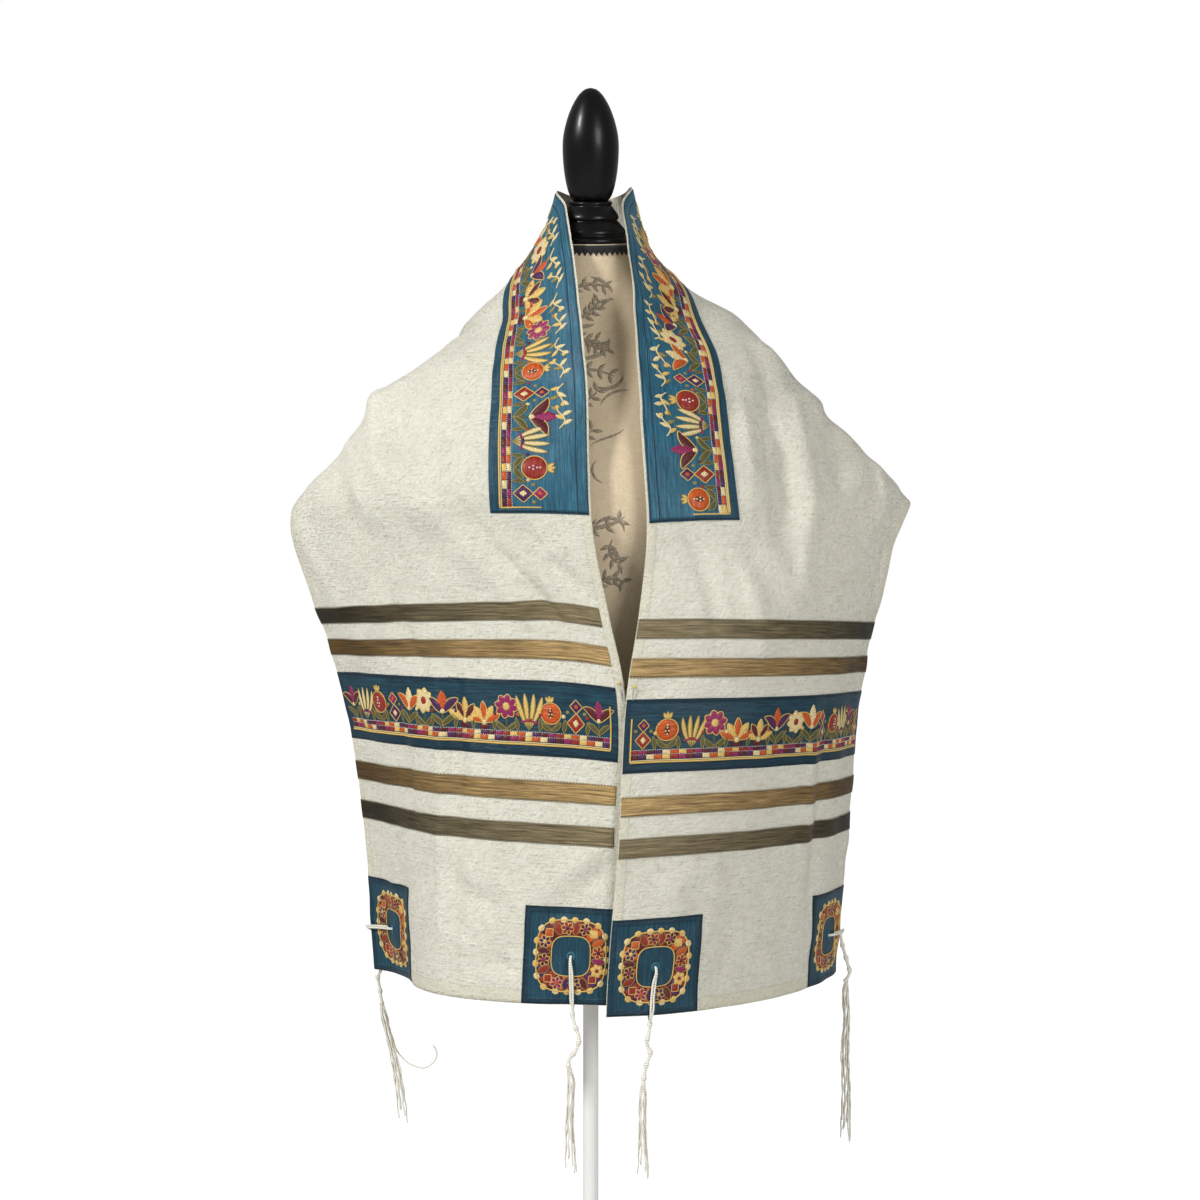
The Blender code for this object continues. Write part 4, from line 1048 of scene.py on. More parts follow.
# the neckband's copy is lighter, as painted light where it faces up over the shoulders, and the band's and
# patches' copies darker, partly painted shade
DUPION_BAND = dupion_look(
    "teal_silk_band", 560, 26, 0.29,
    [("from_end", 0.20, 0.2475), ("from_end", 0.3085, 0.33), ("from_side", -1.0, 0.0045)],
    [("from_end", 0.2402, 0.2408), ("from_end", 0.3096, 0.3102)],
)
DUPION_NECKBAND = dupion_look(
    "teal_silk_neckband", 26, 560, 0.74,
    [("across", 0.0915, 0.12), ("from_end", 0.48, 0.4895), ("across", -1.0, 0.0036)],
    [("across", 0.0128, 0.0134), ("from_end", 0.4872, 0.4878)],
)
DUPION_PATCH = dupion_look(
    "teal_silk_patch", 26, 560, 0.36,
    [("from_end", -1.0, 0.0055), ("from_end", 0.0895, 0.12)]
    + [("from_side", -1.0, 0.0055), ("from_side", 0.0895, 0.12)],
    [("from_end", 0.0010, 0.0016), ("from_end", 0.0934, 0.0940), ("from_side", 0.0934, 0.0940)],
)
HEM = 0.009
STRIP_LOOKS = {"stripe_dark": DARK_RIBBON, "stripe_tan": TAN_RIBBON, "band": DUPION_BAND}
for side, hand in SIDES.items():
    for strip, edges in STRIPS.items():
        low, high = sorted(hand * (HALF_LENGTH - edge) for edge in edges)
        material = next(found for start, found in STRIP_LOOKS.items() if strip.startswith(start))
        start = HEM + 0.0003 if side == "left" else 0.0008
        strip_piece = sewn_on(f"sewn_{side}_{strip}", low, high, start, CLOTH_WIDTH - 0.0005, material)
        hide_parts(f"{side}_{strip}")

# ------------------------------------------------------------------ the neckband
# A band of teal dupion sewn on round the neck edge, its slubs running along it.
NECKBAND_WIDTH = 0.100
NECKBAND_REACH = HALF_LENGTH - 0.486
neckband = sewn_on(
    "sewn_neckband", -NECKBAND_REACH, NECKBAND_REACH, 0.0024, NECKBAND_WIDTH, DUPION_NECKBAND
)
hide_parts("neckband")

# ------------------------------------------------------------------ corner patches
# A square of the same silk on each corner, its slubs upright.
PATCH_SIDE = 0.095
EYELET_INSET = 0.0475     # from both edges of a corner
PATCH_EDGES = {"inner": (0.0006, PATCH_SIDE), "outer": (CLOTH_WIDTH - PATCH_SIDE, CLOTH_WIDTH - 0.0006)}
for side, hand in SIDES.items():
    for corner, (start, end) in PATCH_EDGES.items():
        low, high = sorted(hand * (HALF_LENGTH - edge) for edge in (0.0006, PATCH_SIDE))
        patch = sewn_on(f"sewn_patch_{side}_{corner}", low, high, start, end, DUPION_PATCH, 0.003)
        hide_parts(f"patch_{side}_{corner}")


# ------------------------------------------------------------------ embroidery
# Rayon floss in satin stitch, worked over the bands, the neckband and the patches after
# they are cut, and couched round with cord: fruits, flowers, leaves and chequers.
FLOSS = {
    "gold": (0.66, 0.44, 0.12),
    "cream": (0.70, 0.56, 0.28),
    "khaki": (0.26, 0.20, 0.055),
    "orange": (0.50, 0.078, 0.008),
    "red": (0.26, 0.020, 0.010),
    "burgundy": (0.085, 0.006, 0.010),
    "magenta": (0.25, 0.012, 0.080),
    "purple": (0.060, 0.012, 0.065),
    "olive": (0.085, 0.080, 0.020),
    "sky": (0.030, 0.145, 0.210),
    "white": (0.72, 0.70, 0.62),
}
worked = {name: {"flat": [], "out": [], "grain": [], "faces": [], "count": 0} for name in FLOSS}
SUNK = -0.0004      # stitches start this far inside what they are worked on
CORD_SIDES = 6      # of a couched cord


def sides_of(line, closed=False):
    """Steps of 1 to the left of a flat line, at each of its points."""
    way = np.roll(line, -1, axis=0) - np.roll(line, 1, axis=0) if closed else np.gradient(line, axis=0)
    way /= np.linalg.norm(way, axis=1, keepdims=True)
    return np.stack([-way[:, 1], way[:, 0]], axis=1)


def stitch(floss, at, line, rows, faces, clockwise):
    """Add a closed piece of stitching to its floss, its faces turned to look outwards.

    The rows run along the line, each one of flat places, heights and places in the grain.
    """
    flat, out, grain_at = (np.stack(part, axis=1) for part in zip(*rows))
    flat = at(flat.reshape(-1, 2))
    ahead = at(line[1:2])[0] - at(line[:1])[0]
    aside = at(line[:1] + sides_of(line)[:1] * 0.001)[0] - at(line[:1])[0]
    if (ahead[0] * aside[1] - ahead[1] * aside[0]) * (1 if clockwise else -1) > 0:
        faces = [face[::-1] for face in faces]
    bag = worked[floss]
    bag["flat"].append(flat)
    bag["out"].append(out.ravel())
    bag["grain"].append(grain_at.reshape(-1, 2))
    bag["faces"] += [tuple(k + bag["count"] for k in face) for face in faces]
    bag["count"] += len(flat)


def satin(floss, at, spine, half, tall):
    """A domed satin-stitched shape along a spine of (x, y), with half widths and heights."""
    spine, half, tall = (np.array(part, float) for part in (spine, half, tall))
    aside, run = sides_of(spine), lengths_along(spine)
    section = ((-1, None), (-1, 0.12), (-0.6, 0.82), (0, 1.0), (0.6, 0.82), (1, 0.12), (1, None))
    rows = []
    for share, rise in section:
        out = tall * rise if rise is not None else np.full(len(spine), SUNK)
        rows.append((spine + aside * (half * share)[:, None], out, np.stack([run, half * share], axis=1)))
    stitch(floss, at, spine, rows, ring_faces(len(spine), len(section)), True)


def couched(floss, at, line, radius, closed=False):
    """A cord sewn down along a line of (x, y)."""
    line = np.array(line, float)
    aside, run = sides_of(line, closed), lengths_along(line)
    rows = []
    for k in range(CORD_SIDES):
        angle = tau * (k + 0.5) / CORD_SIDES
        out = np.full(len(line), radius * (0.55 + sin(angle)))
        around = np.full(len(line), k / CORD_SIDES * radius)
        rows.append((line + aside * cos(angle) * radius, out, np.stack([run, around], axis=1)))
    stitch(floss, at, line, rows, ring_faces(len(line), CORD_SIDES, closed), False)


def moved(at, x, y, turn=0.0, size=1.0):
    """The same work, set down at (x, y), turned and sized."""
    c, s = cos(turn) * size, sin(turn) * size

    def place(points):
        u, v = np.asarray(points, float).T
        return at(np.stack([x + c * u - s * v, y + s * u + c * v], axis=1))

    return place


def petal(floss, at, x, y, heading, length, width, bend=0.0, belly=1.0, tall=0.0007, edge=None):
    """A leaf or petal from its foot, widest part way up, with its edge couched if asked."""
    t = np.linspace(0, 1, 8)
    turn = np.radians(heading + bend * (t - 0.35))
    steps = np.stack([np.cos(turn), np.sin(turn)], axis=1) * length / 7
    spine = np.array([x, y]) + np.vstack([np.zeros(2), np.cumsum((steps[1:] + steps[:-1]) / 2, axis=0)])
    shape = np.sin(pi * np.clip(t, 0.02, 0.985) ** belly) ** 0.72
    satin(floss, at, spine, width / 2 * shape, tall * (0.35 + 0.65 * shape))
    if edge:
        aside = sides_of(spine) * (width / 2 * shape)[:, None]
        couched(edge, at, np.vstack([spine + aside, (spine - aside)[::-1]]), 0.00042, closed=True)


def button(floss, at, x, y, radius, tall=0.0008, edge=None, squash=1.0):
    """A round pad."""
    t = np.linspace(-0.985, 0.985, 8)
    spine = np.stack([np.full(8, x), y + t * radius * squash], axis=1)
    satin(floss, at, spine, radius * np.sqrt(1 - t**2), tall * np.sqrt(1 - t**4) + 0.0001)
    if edge:
        angle = np.linspace(0, tau, 20, endpoint=False)
        rim = np.stack([x + radius * np.cos(angle), y + radius * squash * np.sin(angle)], axis=1)
        couched(edge, at, rim, 0.00045, closed=True)


def block(floss, at, x, y, wide, high, tall=0.0006):
    """An upright oblong of satin stitch, from the middle of its foot."""
    t = np.array([0.0, 0.06, 0.5, 0.94, 1.0])
    spine = np.stack([np.full(5, x), y + t * high], axis=1)
    satin(floss, at, spine, wide / 2 * np.array([0.94, 1, 1, 1, 0.94]), tall * np.array([0.3, 1, 1, 1, 0.3]))


def lozenge(floss, at, x, y, wide, high, tall=0.0006, edge=None):
    """A diamond of satin stitch, from its middle."""
    t = np.array([0.02, 0.25, 0.5, 0.75, 0.98])
    spine = np.stack([np.full(5, x), y + (t - 0.5) * high], axis=1)
    satin(floss, at, spine, wide / 2 * (1 - np.abs(2 * t - 1)), tall * np.array([0.4, 1, 1, 1, 0.4]))
    if edge:
        corners = np.array([(x, y - high / 2), (x + wide / 2, y), (x, y + high / 2), (x - wide / 2, y)])
        onward = np.roll(corners, -1, axis=0)
        rim = [a + (b - a) * s for a, b in zip(corners, onward) for s in (0.06, 0.35, 0.65, 0.94)]
        couched(edge, at, rim, 0.00042, closed=True)


def running(at, start, end, y, pitch=0.0021):
    """White running stitches in a row."""
    for k in range(int((end - start) / pitch)):
        x = start + pitch * (k + 0.25)
        spine = [(x + pitch * share, y) for share in (0.0, 0.3, 0.6)]
        satin("white", at, spine, (0.00025, 0.00034, 0.00025), (0.0002, 0.0005, 0.0002))


def stalk(at, length, width, leaves_at, splay, leaf_length, leaf_width, bend):
    """A flower's stem, with a leaf to each side."""
    petal("olive", at, 0, 0, 90, length, width, tall=0.0005)
    for hand in (-1, 1):
        turn = 90 - hand * splay
        petal("olive", at, 0, leaves_at, turn, leaf_length, leaf_width, hand * bend, edge="khaki")


def pomegranate(at, skin, seeds):
    stalk(at, 0.008, 0.0016, 0.002, 58, 0.011, 0.0042, 50)
    button(skin, at, 0, 0.0165, 0.0093, 0.0011, edge="gold")
    petal(seeds, at, 0, 0.0100, 90, 0.0130, 0.0066, tall=0.0016)
    for x, y in ((0, 0.0130), (-0.0013, 0.0158), (0.0013, 0.0158), (0, 0.0186), (0, 0.0208)):
        button("cream", at, x, y, 0.00095, 0.0022)
    for turn in (-32, 0, 32):
        petal("gold", at, 0, 0.0252, 90 - turn, 0.0066, 0.0030, edge="khaki")


def tulip(at, outer, inner):
    stalk(at, 0.015, 0.0015, 0.001, 42, 0.0155, 0.0046, -40)
    petal(inner, at, 0, 0.0130, 90, 0.0195, 0.0088, belly=0.85, tall=0.0008)
    for hand in (-1, 1):
        x, turn = hand * 0.0012, 90 - hand * 38
        petal(outer, at, x, 0.0130, turn, 0.0190, 0.0074, hand * -62, belly=0.9, tall=0.0012, edge="gold")
    button("cream", at, 0, 0.0140, 0.0022, 0.0014)


def rosette(at, y, radius, petals, eye, count=8):
    for k in range(count):
        turn = 360 * k / count + 11
        petal(petals, at, 0, y, turn, radius, radius * 0.66, belly=1.25, tall=0.0009, edge="gold")
    button(eye, at, 0, y, radius * 0.34, 0.0014, edge="cream")


def standing_rosette(at, petals, eye):
    stalk(at, 0.013, 0.0016, 0.001, 60, 0.0115, 0.0042, 46)
    rosette(at, 0.0205, 0.0105, petals, eye)


def lozenge_stack(at, low, high):
    lozenge(low, at, 0, 0.0088, 0.0150, 0.0165, edge="gold")
    lozenge("cream", at, 0, 0.0088, 0.0066, 0.0074, 0.0010)
    lozenge(high, at, 0, 0.0225, 0.0108, 0.0120, edge="gold")
    button("orange", at, 0, 0.0225, 0.0019, 0.0011)
    for hand in (-1, 1):
        button("khaki", at, hand * 0.0072, 0.0172, 0.0016)


def fan(at, outer, inner):
    block("burgundy", at, 0, 0.0002, 0.0105, 0.0052)
    running(at, -0.0050, 0.0050, 0.0060)
    for k, turn in enumerate((-66, -33, 0, 33, 66)):
        floss = outer if k % 2 else inner
        length = 0.0175 if turn else 0.0195
        petal(floss, at, 0, 0.0062, 90 - turn, length, 0.0066, belly=1.3, tall=0.0009, edge="gold")
    button("cream", at, 0, 0.0066, 0.0026, 0.0014, edge="khaki")


def sheaf(at, ears, tie):
    for turn in (-26, -9, 9, 26):
        bend = turn * 0.9
        petal(ears, at, 0, 0.0010, 90 - turn, 0.0290, 0.0040, bend, belly=1.6, tall=0.0009, edge="khaki")
    block(tie, at, 0, 0.0075, 0.0062, 0.0026, 0.0013)
    for hand in (-1, 1):
        petal("magenta", at, hand * 0.001, 0.0085, 90 - hand * 105, 0.0070, 0.0030, tall=0.0009)


GARDEN = (
    (pomegranate, "orange", "burgundy"),
    (lozenge_stack, "purple", "magenta"),
    (fan, "gold", "orange"),
    (tulip, "burgundy", "magenta"),
    (standing_rosette, "cream", "red"),
    (sheaf, "gold", "red"),
    (pomegranate, "red", "magenta"),
    (fan, "burgundy", "gold"),
    (lozenge_stack, "red", "purple"),
    (tulip, "orange", "cream"),
    (standing_rosette, "magenta", "gold"),
    (sheaf, "cream", "purple"),
    (tulip, "purple", "orange"),
)


def garden(at, start, end, first, width=0.0240):
    """A row of flowers and fruits over a chequered foot, standing on a couched gold line."""
    for floss, y, thick in (("gold", 0.0, 0.00095), ("cream", 0.0017, 0.00055)):
        couched(floss, at, [(x, y) for x in np.arange(start, end + 1e-6, 0.0025)], thick)
    count = int(round((end - start) / width))
    pitch = (end - start) / count
    tints = ("orange", "burgundy", "gold", "purple", "red", "cream", "magenta")
    for k in range(count * 3):
        x = start + (k + 0.5) * pitch / 3
        for ahead, y, high in ((0, 0.0028, 0.0046), (3, 0.0078, 0.0038)):
            block(tints[(2 * k + first + ahead) % 7], at, x, y, pitch / 3 - 0.0004, high)
    for y in (0.0076, 0.0121):
        running(at, start, end, y, 0.0024)
    for k in range(count):
        motif, one, two = GARDEN[(k * 5 + first) % len(GARDEN)]
        size = (1.0 + 0.18 * ((k * 0.618) % 1.0)) * width / 0.0226
        spot = moved(at, start + (k + 0.5) * pitch, 0.0124, 0.05 * sin(2.3 * k), size)
        motif(spot, one, two)
        if k:
            x = start + k * pitch
            petal("olive", at, x, 0.0124, 90 + 9 * sin(k), 0.0130, 0.0040, 20 * cos(k), edge="khaki")
            button(tints[(k + first) % 7], at, x, 0.0285, 0.0020, 0.0009)


BORDER = 0.0105             # from a band's edge to its gold line
BAND_LINE = HALF_LENGTH - STRIPS["band"][0] - BORDER
NECKBAND_LINE = NECKBAND_WIDTH - BORDER
GARDEN_END = NECKBAND_REACH - 0.006


def on_band(hand):
    """(x, y) over a band: x across from the neck edge, y up from the band's gold line."""

    def place(points):
        x, y = np.asarray(points, float).T
        return np.stack([hand * (BAND_LINE - y), x], axis=1)

    return place


def on_neckband(points):
    """(x, y) over the neckband: x along it from the centre back, y in from its outer line."""
    x, y = np.asarray(points, float).T
    return np.stack([x, NECKBAND_LINE - y], axis=1)


for side, start, first in (("left", 0.0165, 3), ("right", 0.0075, 8)):
    at = on_band(SIDES[side])
    garden(at, start, CLOTH_WIDTH - 0.0080, first)
    couched("gold", at, [(start, y) for y in np.arange(0.0, 0.0455, 0.0024)], 0.0008)

garden(on_neckband, -GARDEN_END, GARDEN_END, 1, 0.0280)
for end in (-GARDEN_END, GARDEN_END):
    couched("gold", on_neckband, [(end, y) for y in np.arange(0.0, 0.043, 0.0024)], 0.0008)


# A sprig's leaves: at which point of its stem, the heading, the length.
SPRIG_LEAVES = ((2, 62, 0.0080), (5, -68, 0.0088), (7, 58, 0.0080), (10, -52, 0.0062))
SPRIG_PITCH = 0.0275
SPRIG_SIZE = 1.32


def sprig_run(at, reach):
    """A run of cream and gold leaf sprigs, each a curved stem with leaves and a bud."""
    count = int(2 * reach / SPRIG_PITCH)
    for k in range(count):
        turn = (0.0, pi)[k % 2] + 0.18 * sin(1.9 * k)
        one = moved(at, (k + 0.5) * 2 * reach / count - reach, 0.0, turn, SPRIG_SIZE)
        t = np.linspace(0, 1, 12)
        stem = np.stack([(t - 0.5) * 0.0165, 0.0030 * np.sin(t * pi * 1.6 - 0.4)], axis=1)
        couched("cream", one, stem, 0.00062)
        for i, (where, heading, length) in enumerate(SPRIG_LEAVES):
            floss = ("cream", "gold", "cream", "khaki")[(i + k) % 4]
            bend = 22 if heading > 0 else -22
            heading += 8 * sin(k + i)
            petal(floss, one, *stem[where], heading, length, 0.0034, bend, belly=0.9, tall=0.0008)
        button("gold", one, *(stem[-1] + (0.0014, 0.0)), 0.0017, 0.0010)


# the sprigs stop short of each lower end, where the band is left plain
sprig_run(moved(on_neckband, 0.0, NECKBAND_LINE - 0.0275), NECKBAND_REACH - 0.086)

WREATH_REACH = 0.0271       # the middle of a wreath's ring, straight out from the eyelet
WREATH_SQUARENESS = 3.4


def squarish(turn):
    """How far a square with rounded corners reaches at a turn; 1 straight out."""
    across_it, up_it = np.abs(np.cos(turn)), np.abs(np.sin(turn))
    return (across_it**WREATH_SQUARENESS + up_it**WREATH_SQUARENESS) ** (-1 / WREATH_SQUARENESS)


def round_wreath(at, k, count, share=1.0):
    """The k-th of `count` places round a wreath's ring, or at a share of its reach."""
    turn = tau * (k + 0.5) / count
    out = WREATH_REACH * float(squarish(turn)) * share
    return moved(at, out * cos(turn), out * sin(turn), turn)

for side, hand in SIDES.items():
    for corner, (start, end) in PATCH_EDGES.items():
        middle = EYELET_INSET if corner == "inner" else CLOTH_WIDTH - EYELET_INSET

        def on_patch(points, hand=hand, middle=middle):
            x, y = np.asarray(points, float).T
            return np.stack([hand * (HALF_LENGTH - EYELET_INSET - y), middle + hand * x], axis=1)

        # the wreath: a squarish ring of flowers, leaves and berries between gold cords
        angle = np.linspace(0, tau, 60, endpoint=False)
        square = np.stack([squarish(angle) * np.cos(angle), squarish(angle) * np.sin(angle)], axis=1)
        for reach, thick in ((0.0196, 0.00060), (0.0345, 0.00075)):
            couched("gold", on_patch, reach * square, thick, closed=True)
        tints = ("red", "burgundy", "orange", "burgundy", "red", "purple")
        for k in range(40):
            wide = 0.0146 * float(squarish(tau * (k + 0.5) / 40))
            at = round_wreath(on_patch, k, 40)
            block(tints[(k // 2) % 6], at, 0, -0.0023, wide, 0.0046, 0.0003)
            if k % 2:
                at = round_wreath(on_patch, k, 40, 1.285)
                button("gold" if k % 4 == 1 else "cream", at, 0, 0, 0.0031, 0.0005, squash=1.15)
        tints = ("red", "purple", "orange", "burgundy", "gold", "red", "magenta")
        for k in range(20):
            at = round_wreath(on_patch, k, 20)
            if k % 5 in (0, 3):
                rosette(at, 0, 0.0064, tints[k % 7], tints[(k + 3) % 7], 6)
            elif k % 5 in (1, 4):
                petal(tints[(k + 1) % 7], at, -0.0062, 0.0, 0, 0.0128, 0.0072, edge="khaki")
            else:
                lozenge(tints[(k + 2) % 7], at, 0, 0, 0.0100, 0.0104, edge="gold")
        # the eyelet, worked round in twist
        angle = np.linspace(0, tau, 24, endpoint=False)
        circle = np.stack([np.cos(angle), np.sin(angle)], axis=1)
        for reach in (0.0030, 0.0040):
            couched("sky", on_patch, reach * circle, 0.00062, closed=True)

for floss, tint in FLOSS.items():
    bag = worked[floss]
    if not bag["count"]:
        continue
    thread = look(f"floss_{floss}", tint, 0.40, sheen=0.04, specular=0.32)
    tree = thread.node_tree
    strands = grain(tree, marked_place(tree, "stitch")[0], (2300, 120, 1), 2.0, 0.6)
    pale = tuple(min(1.0, c * 1.45 + 0.02) for c in tint)
    deep = tuple(c * 0.45 for c in tint)
    coloured(thread, ramp(tree, strands, (0.36, deep), (0.52, tint), (0.68, pale)))
    bumped(thread, strands, 0.00025, 0.9)
    flat = np.vstack(bag["flat"])
    out = np.concatenate(bag["out"]) + OVER
    piece = shown(f"stitching_{floss}", cloth(flat[:, 0], flat[:, 1], out), bag["faces"], thread)
    marked(piece, "stitch", np.vstack(bag["grain"]))
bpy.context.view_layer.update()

# ------------------------------------------------------------------ tassels
# Four long wool cords go through each eyelet to their middles. They are knotted below it
# with a pair of knots, wound with one of their own ends, and so on, and hang loose.
LOOP_APART = 0.00115     # the loop is two cords side by side
CORD = 0.00110
STRAND = 0.00085
STRANDS = 8
SPREAD = 0.0034


def spot(along, across, out):
    return Vector(cloth(float(along), float(across), float(out)))


# The loop's places on the cloth: down from the eyelet, towards the outer edge from it, and
# off the cloth's middle.
OVER_THE_HEM = table("""
    down     outer    out
    0.0500   0.0035   0.0040
    0.0430   0.0027   0.0045
    0.0300   0.0020   0.0044
    0.0150   0.0010   0.0042
    0.0030   0.0000   0.0044
    0.0006   0.0000   0.0024
    0.0000   0.0000   0.0000
    0.0004   0.0000  -0.0012
    0.0030   0.0000  -0.0032
    0.0150   0.0005  -0.0032
    0.0300   0.0015  -0.0032
    0.0430   0.0025  -0.0032
    0.0500   0.0033  -0.0027
""")
OVER_THE_SIDE = table("""
    down     outer    out
    0.0020   0.0500   0.0040
    0.0015   0.0430   0.0045
    0.0010   0.0300   0.0044
    0.0004   0.0150   0.0042
    0.0000   0.0030   0.0044
    0.0000   0.0006   0.0024
    0.0000   0.0000   0.0000
    0.0000   0.0004  -0.0012
    0.0000   0.0030  -0.0032
    0.0006   0.0150  -0.0034
    0.0012   0.0300  -0.0034
    0.0018   0.0430  -0.0034
    0.0022   0.0500  -0.0027
""")
ROUND_THE_CORNER = table("""
    down     outer    out
    0.0500   0.0430  -0.0050
    0.0350   0.0440  -0.0070
    0.0180   0.0470  -0.0068
    0.0080   0.0505  -0.0044
    0.0045   0.0518   0.0010
    0.0030   0.0480   0.0056
    0.0020   0.0300   0.0048
    0.0008   0.0150   0.0042
    0.0000   0.0030   0.0044
    0.0000   0.0006   0.0024
    0.0000   0.0000   0.0000
    0.0003   0.0003  -0.0012
    0.0022   0.0022  -0.0032
    0.0140   0.0130  -0.0034
    0.0300   0.0280  -0.0034
    0.0430   0.0400  -0.0040
""")

# For each tassel: its loop, which way the loop's two cords lie beside each other (down,
# outer), how far down the stem the ends come free, and the line of the stem and of the free
# ends below it, from the loop down.
TASSELS = {
    ("left", "inner"): (OVER_THE_HEM, (0.0, 1.0), 0.058, table("""
        x        y        z
       -0.0245  -0.1285   0.5740
       -0.0220  -0.1315   0.5623
       -0.0175  -0.1335   0.5493
       -0.0205  -0.1340   0.5378
       -0.0270  -0.1345   0.5290
       -0.0245  -0.1350   0.5036
       -0.0262  -0.1355   0.4817
       -0.0255  -0.1355   0.4180
    """)),
    ("right", "inner"): (OVER_THE_HEM, (0.0, 1.0), 0.062, table("""
        x        y        z
        0.0522  -0.1315   0.5642
        0.0512  -0.1325   0.5540
        0.0490  -0.1330   0.5450
        0.0525  -0.1320   0.5345
        0.0488  -0.1330   0.5238
        0.0461  -0.1340   0.5090
        0.0451  -0.1350   0.4824
        0.0455  -0.1350   0.4120
    """)),
    ("left", "outer"): (ROUND_THE_CORNER, (-0.8, 0.6), 0.030, table("""
        x        y        z
       -0.2345   0.0620   0.5790
       -0.2325   0.0605   0.5690
       -0.2300   0.0570   0.5553
       -0.2252   0.0530   0.5309
       -0.2180   0.0500   0.5058
       -0.2127   0.0500   0.4810
       -0.2080   0.0500   0.4500
       -0.2050   0.0500   0.4250
    """)),
    ("right", "outer"): (OVER_THE_SIDE, (-1.0, 0.0), 0.058, table("""
        x        y        z
        0.2618   0.0886   0.6228
        0.2650   0.0900   0.6069
        0.2700   0.0900   0.5891
        0.2725   0.0895   0.5784
        0.2680   0.0895   0.5678
        0.2700   0.0895   0.5429
        0.2665   0.0900   0.5078
        0.2685   0.0900   0.4758
        0.2680   0.0900   0.3950
    """)),
}
CURLED = ("left", "outer")  # one of its free ends has dried into a curl
CURL = table("""
    x       z
    0.010  -0.022
    0.022  -0.031
    0.034  -0.034
    0.044  -0.028
    0.048  -0.017
    0.043  -0.009
""")
KNOTS = (0.0015, 0.016, 0.030, 0.043, 0.056)    # down the stem
WINDING_PITCH = 0.00190


def corner_spot(side, corner, down, outer, out):
    sign = SIDES[side]
    inset = EYELET_INSET if corner == "inner" else CLOTH_WIDTH - EYELET_INSET
    from_hem = EYELET_INSET - down
    towards = outer if corner == "outer" else -outer
    reach = HALF_LENGTH - from_hem
    if from_hem >= 0 and 0 <= inset + towards <= CLOTH_WIDTH:
        return spot(sign * reach, inset + towards, out)
    # past an edge the place lies straight on in the line of the cloth
    edge = (min(reach, HALF_LENGTH), float(np.clip(inset + towards, 0, CLOTH_WIDTH)))
    at_edge = spot(sign * edge[0], edge[1], out)
    back_along = spot(sign * (edge[0] - 0.01), edge[1], out)
    step = 0.01 if edge[1] > CLOTH_WIDTH / 2 else -0.01
    back_across = spot(sign * edge[0], edge[1] - step, out)
    on = (at_edge - back_along) / 0.01 * (reach - edge[0])
    off = (at_edge - back_across) / step * (inset + towards - edge[1])
    return at_edge + on + off


WOOL = look("white_wool", (0.70, 0.675, 0.60), 0.85, sheen=0.35)
tree = WOOL.node_tree
TWISTS_TO_METRE = 420.0
_, run, around_it = marked_place(tree, "twist")
ply = math(tree, "PINGPONG", math(tree, "ADD", math(tree, "MULTIPLY", run, TWISTS_TO_METRE), around_it), 0.5)
fuzz = grain(tree, object_place(tree), (1800, 1800, 1800), 3.0, 0.7)
# painted shade: the white wool is darker in the grooves between its plies and lighter on their ridges
coloured(WOOL, ramp(tree, ply, (0.05, (0.58, 0.55, 0.45)), (0.35, (0.88, 0.86, 0.76))))
bumped(WOOL, ply, 0.0005, 0.9)
bumped(WOOL, fuzz, 0.0003, 0.7)


def bent(points, step):
    """Points every `step` or so along a smooth curve through the given ones."""
    points = np.array([tuple(p) for p in points])
    chord = lengths_along(points)
    t = np.linspace(0, chord[-1], max(3, int(round(chord[-1] / step)) + 1))
    return np.stack([smooth(chord, points[:, k], t) for k in range(3)], axis=1)


def spun(bag, points, radii, sides):
    """Add a cord to a tassel: points, faces and how far round and along each point is."""
    points = [Vector(p) for p in points]
    vertices, faces, places = bag
    start, run = len(vertices), 0.0
    beside = None
    for i, point in enumerate(points):
        way = (points[min(i + 1, len(points) - 1)] - points[max(i - 1, 0)]).normalized()
        if beside is None:
            beside = way.orthogonal().normalized()
        beside = (beside - way * beside.dot(way)).normalized()
        third = way.cross(beside)
        run += (point - points[i - 1]).length if i else 0.0
        for k in range(sides):
            angle = tau * k / sides
            vertices.append(point + (beside * cos(angle) + third * sin(angle)) * radii[i])
            places.append((run, min(k, sides - k) * 2 / sides))
    for face in ring_faces(len(points), sides):
        faces.append(tuple(start + k for k in face))


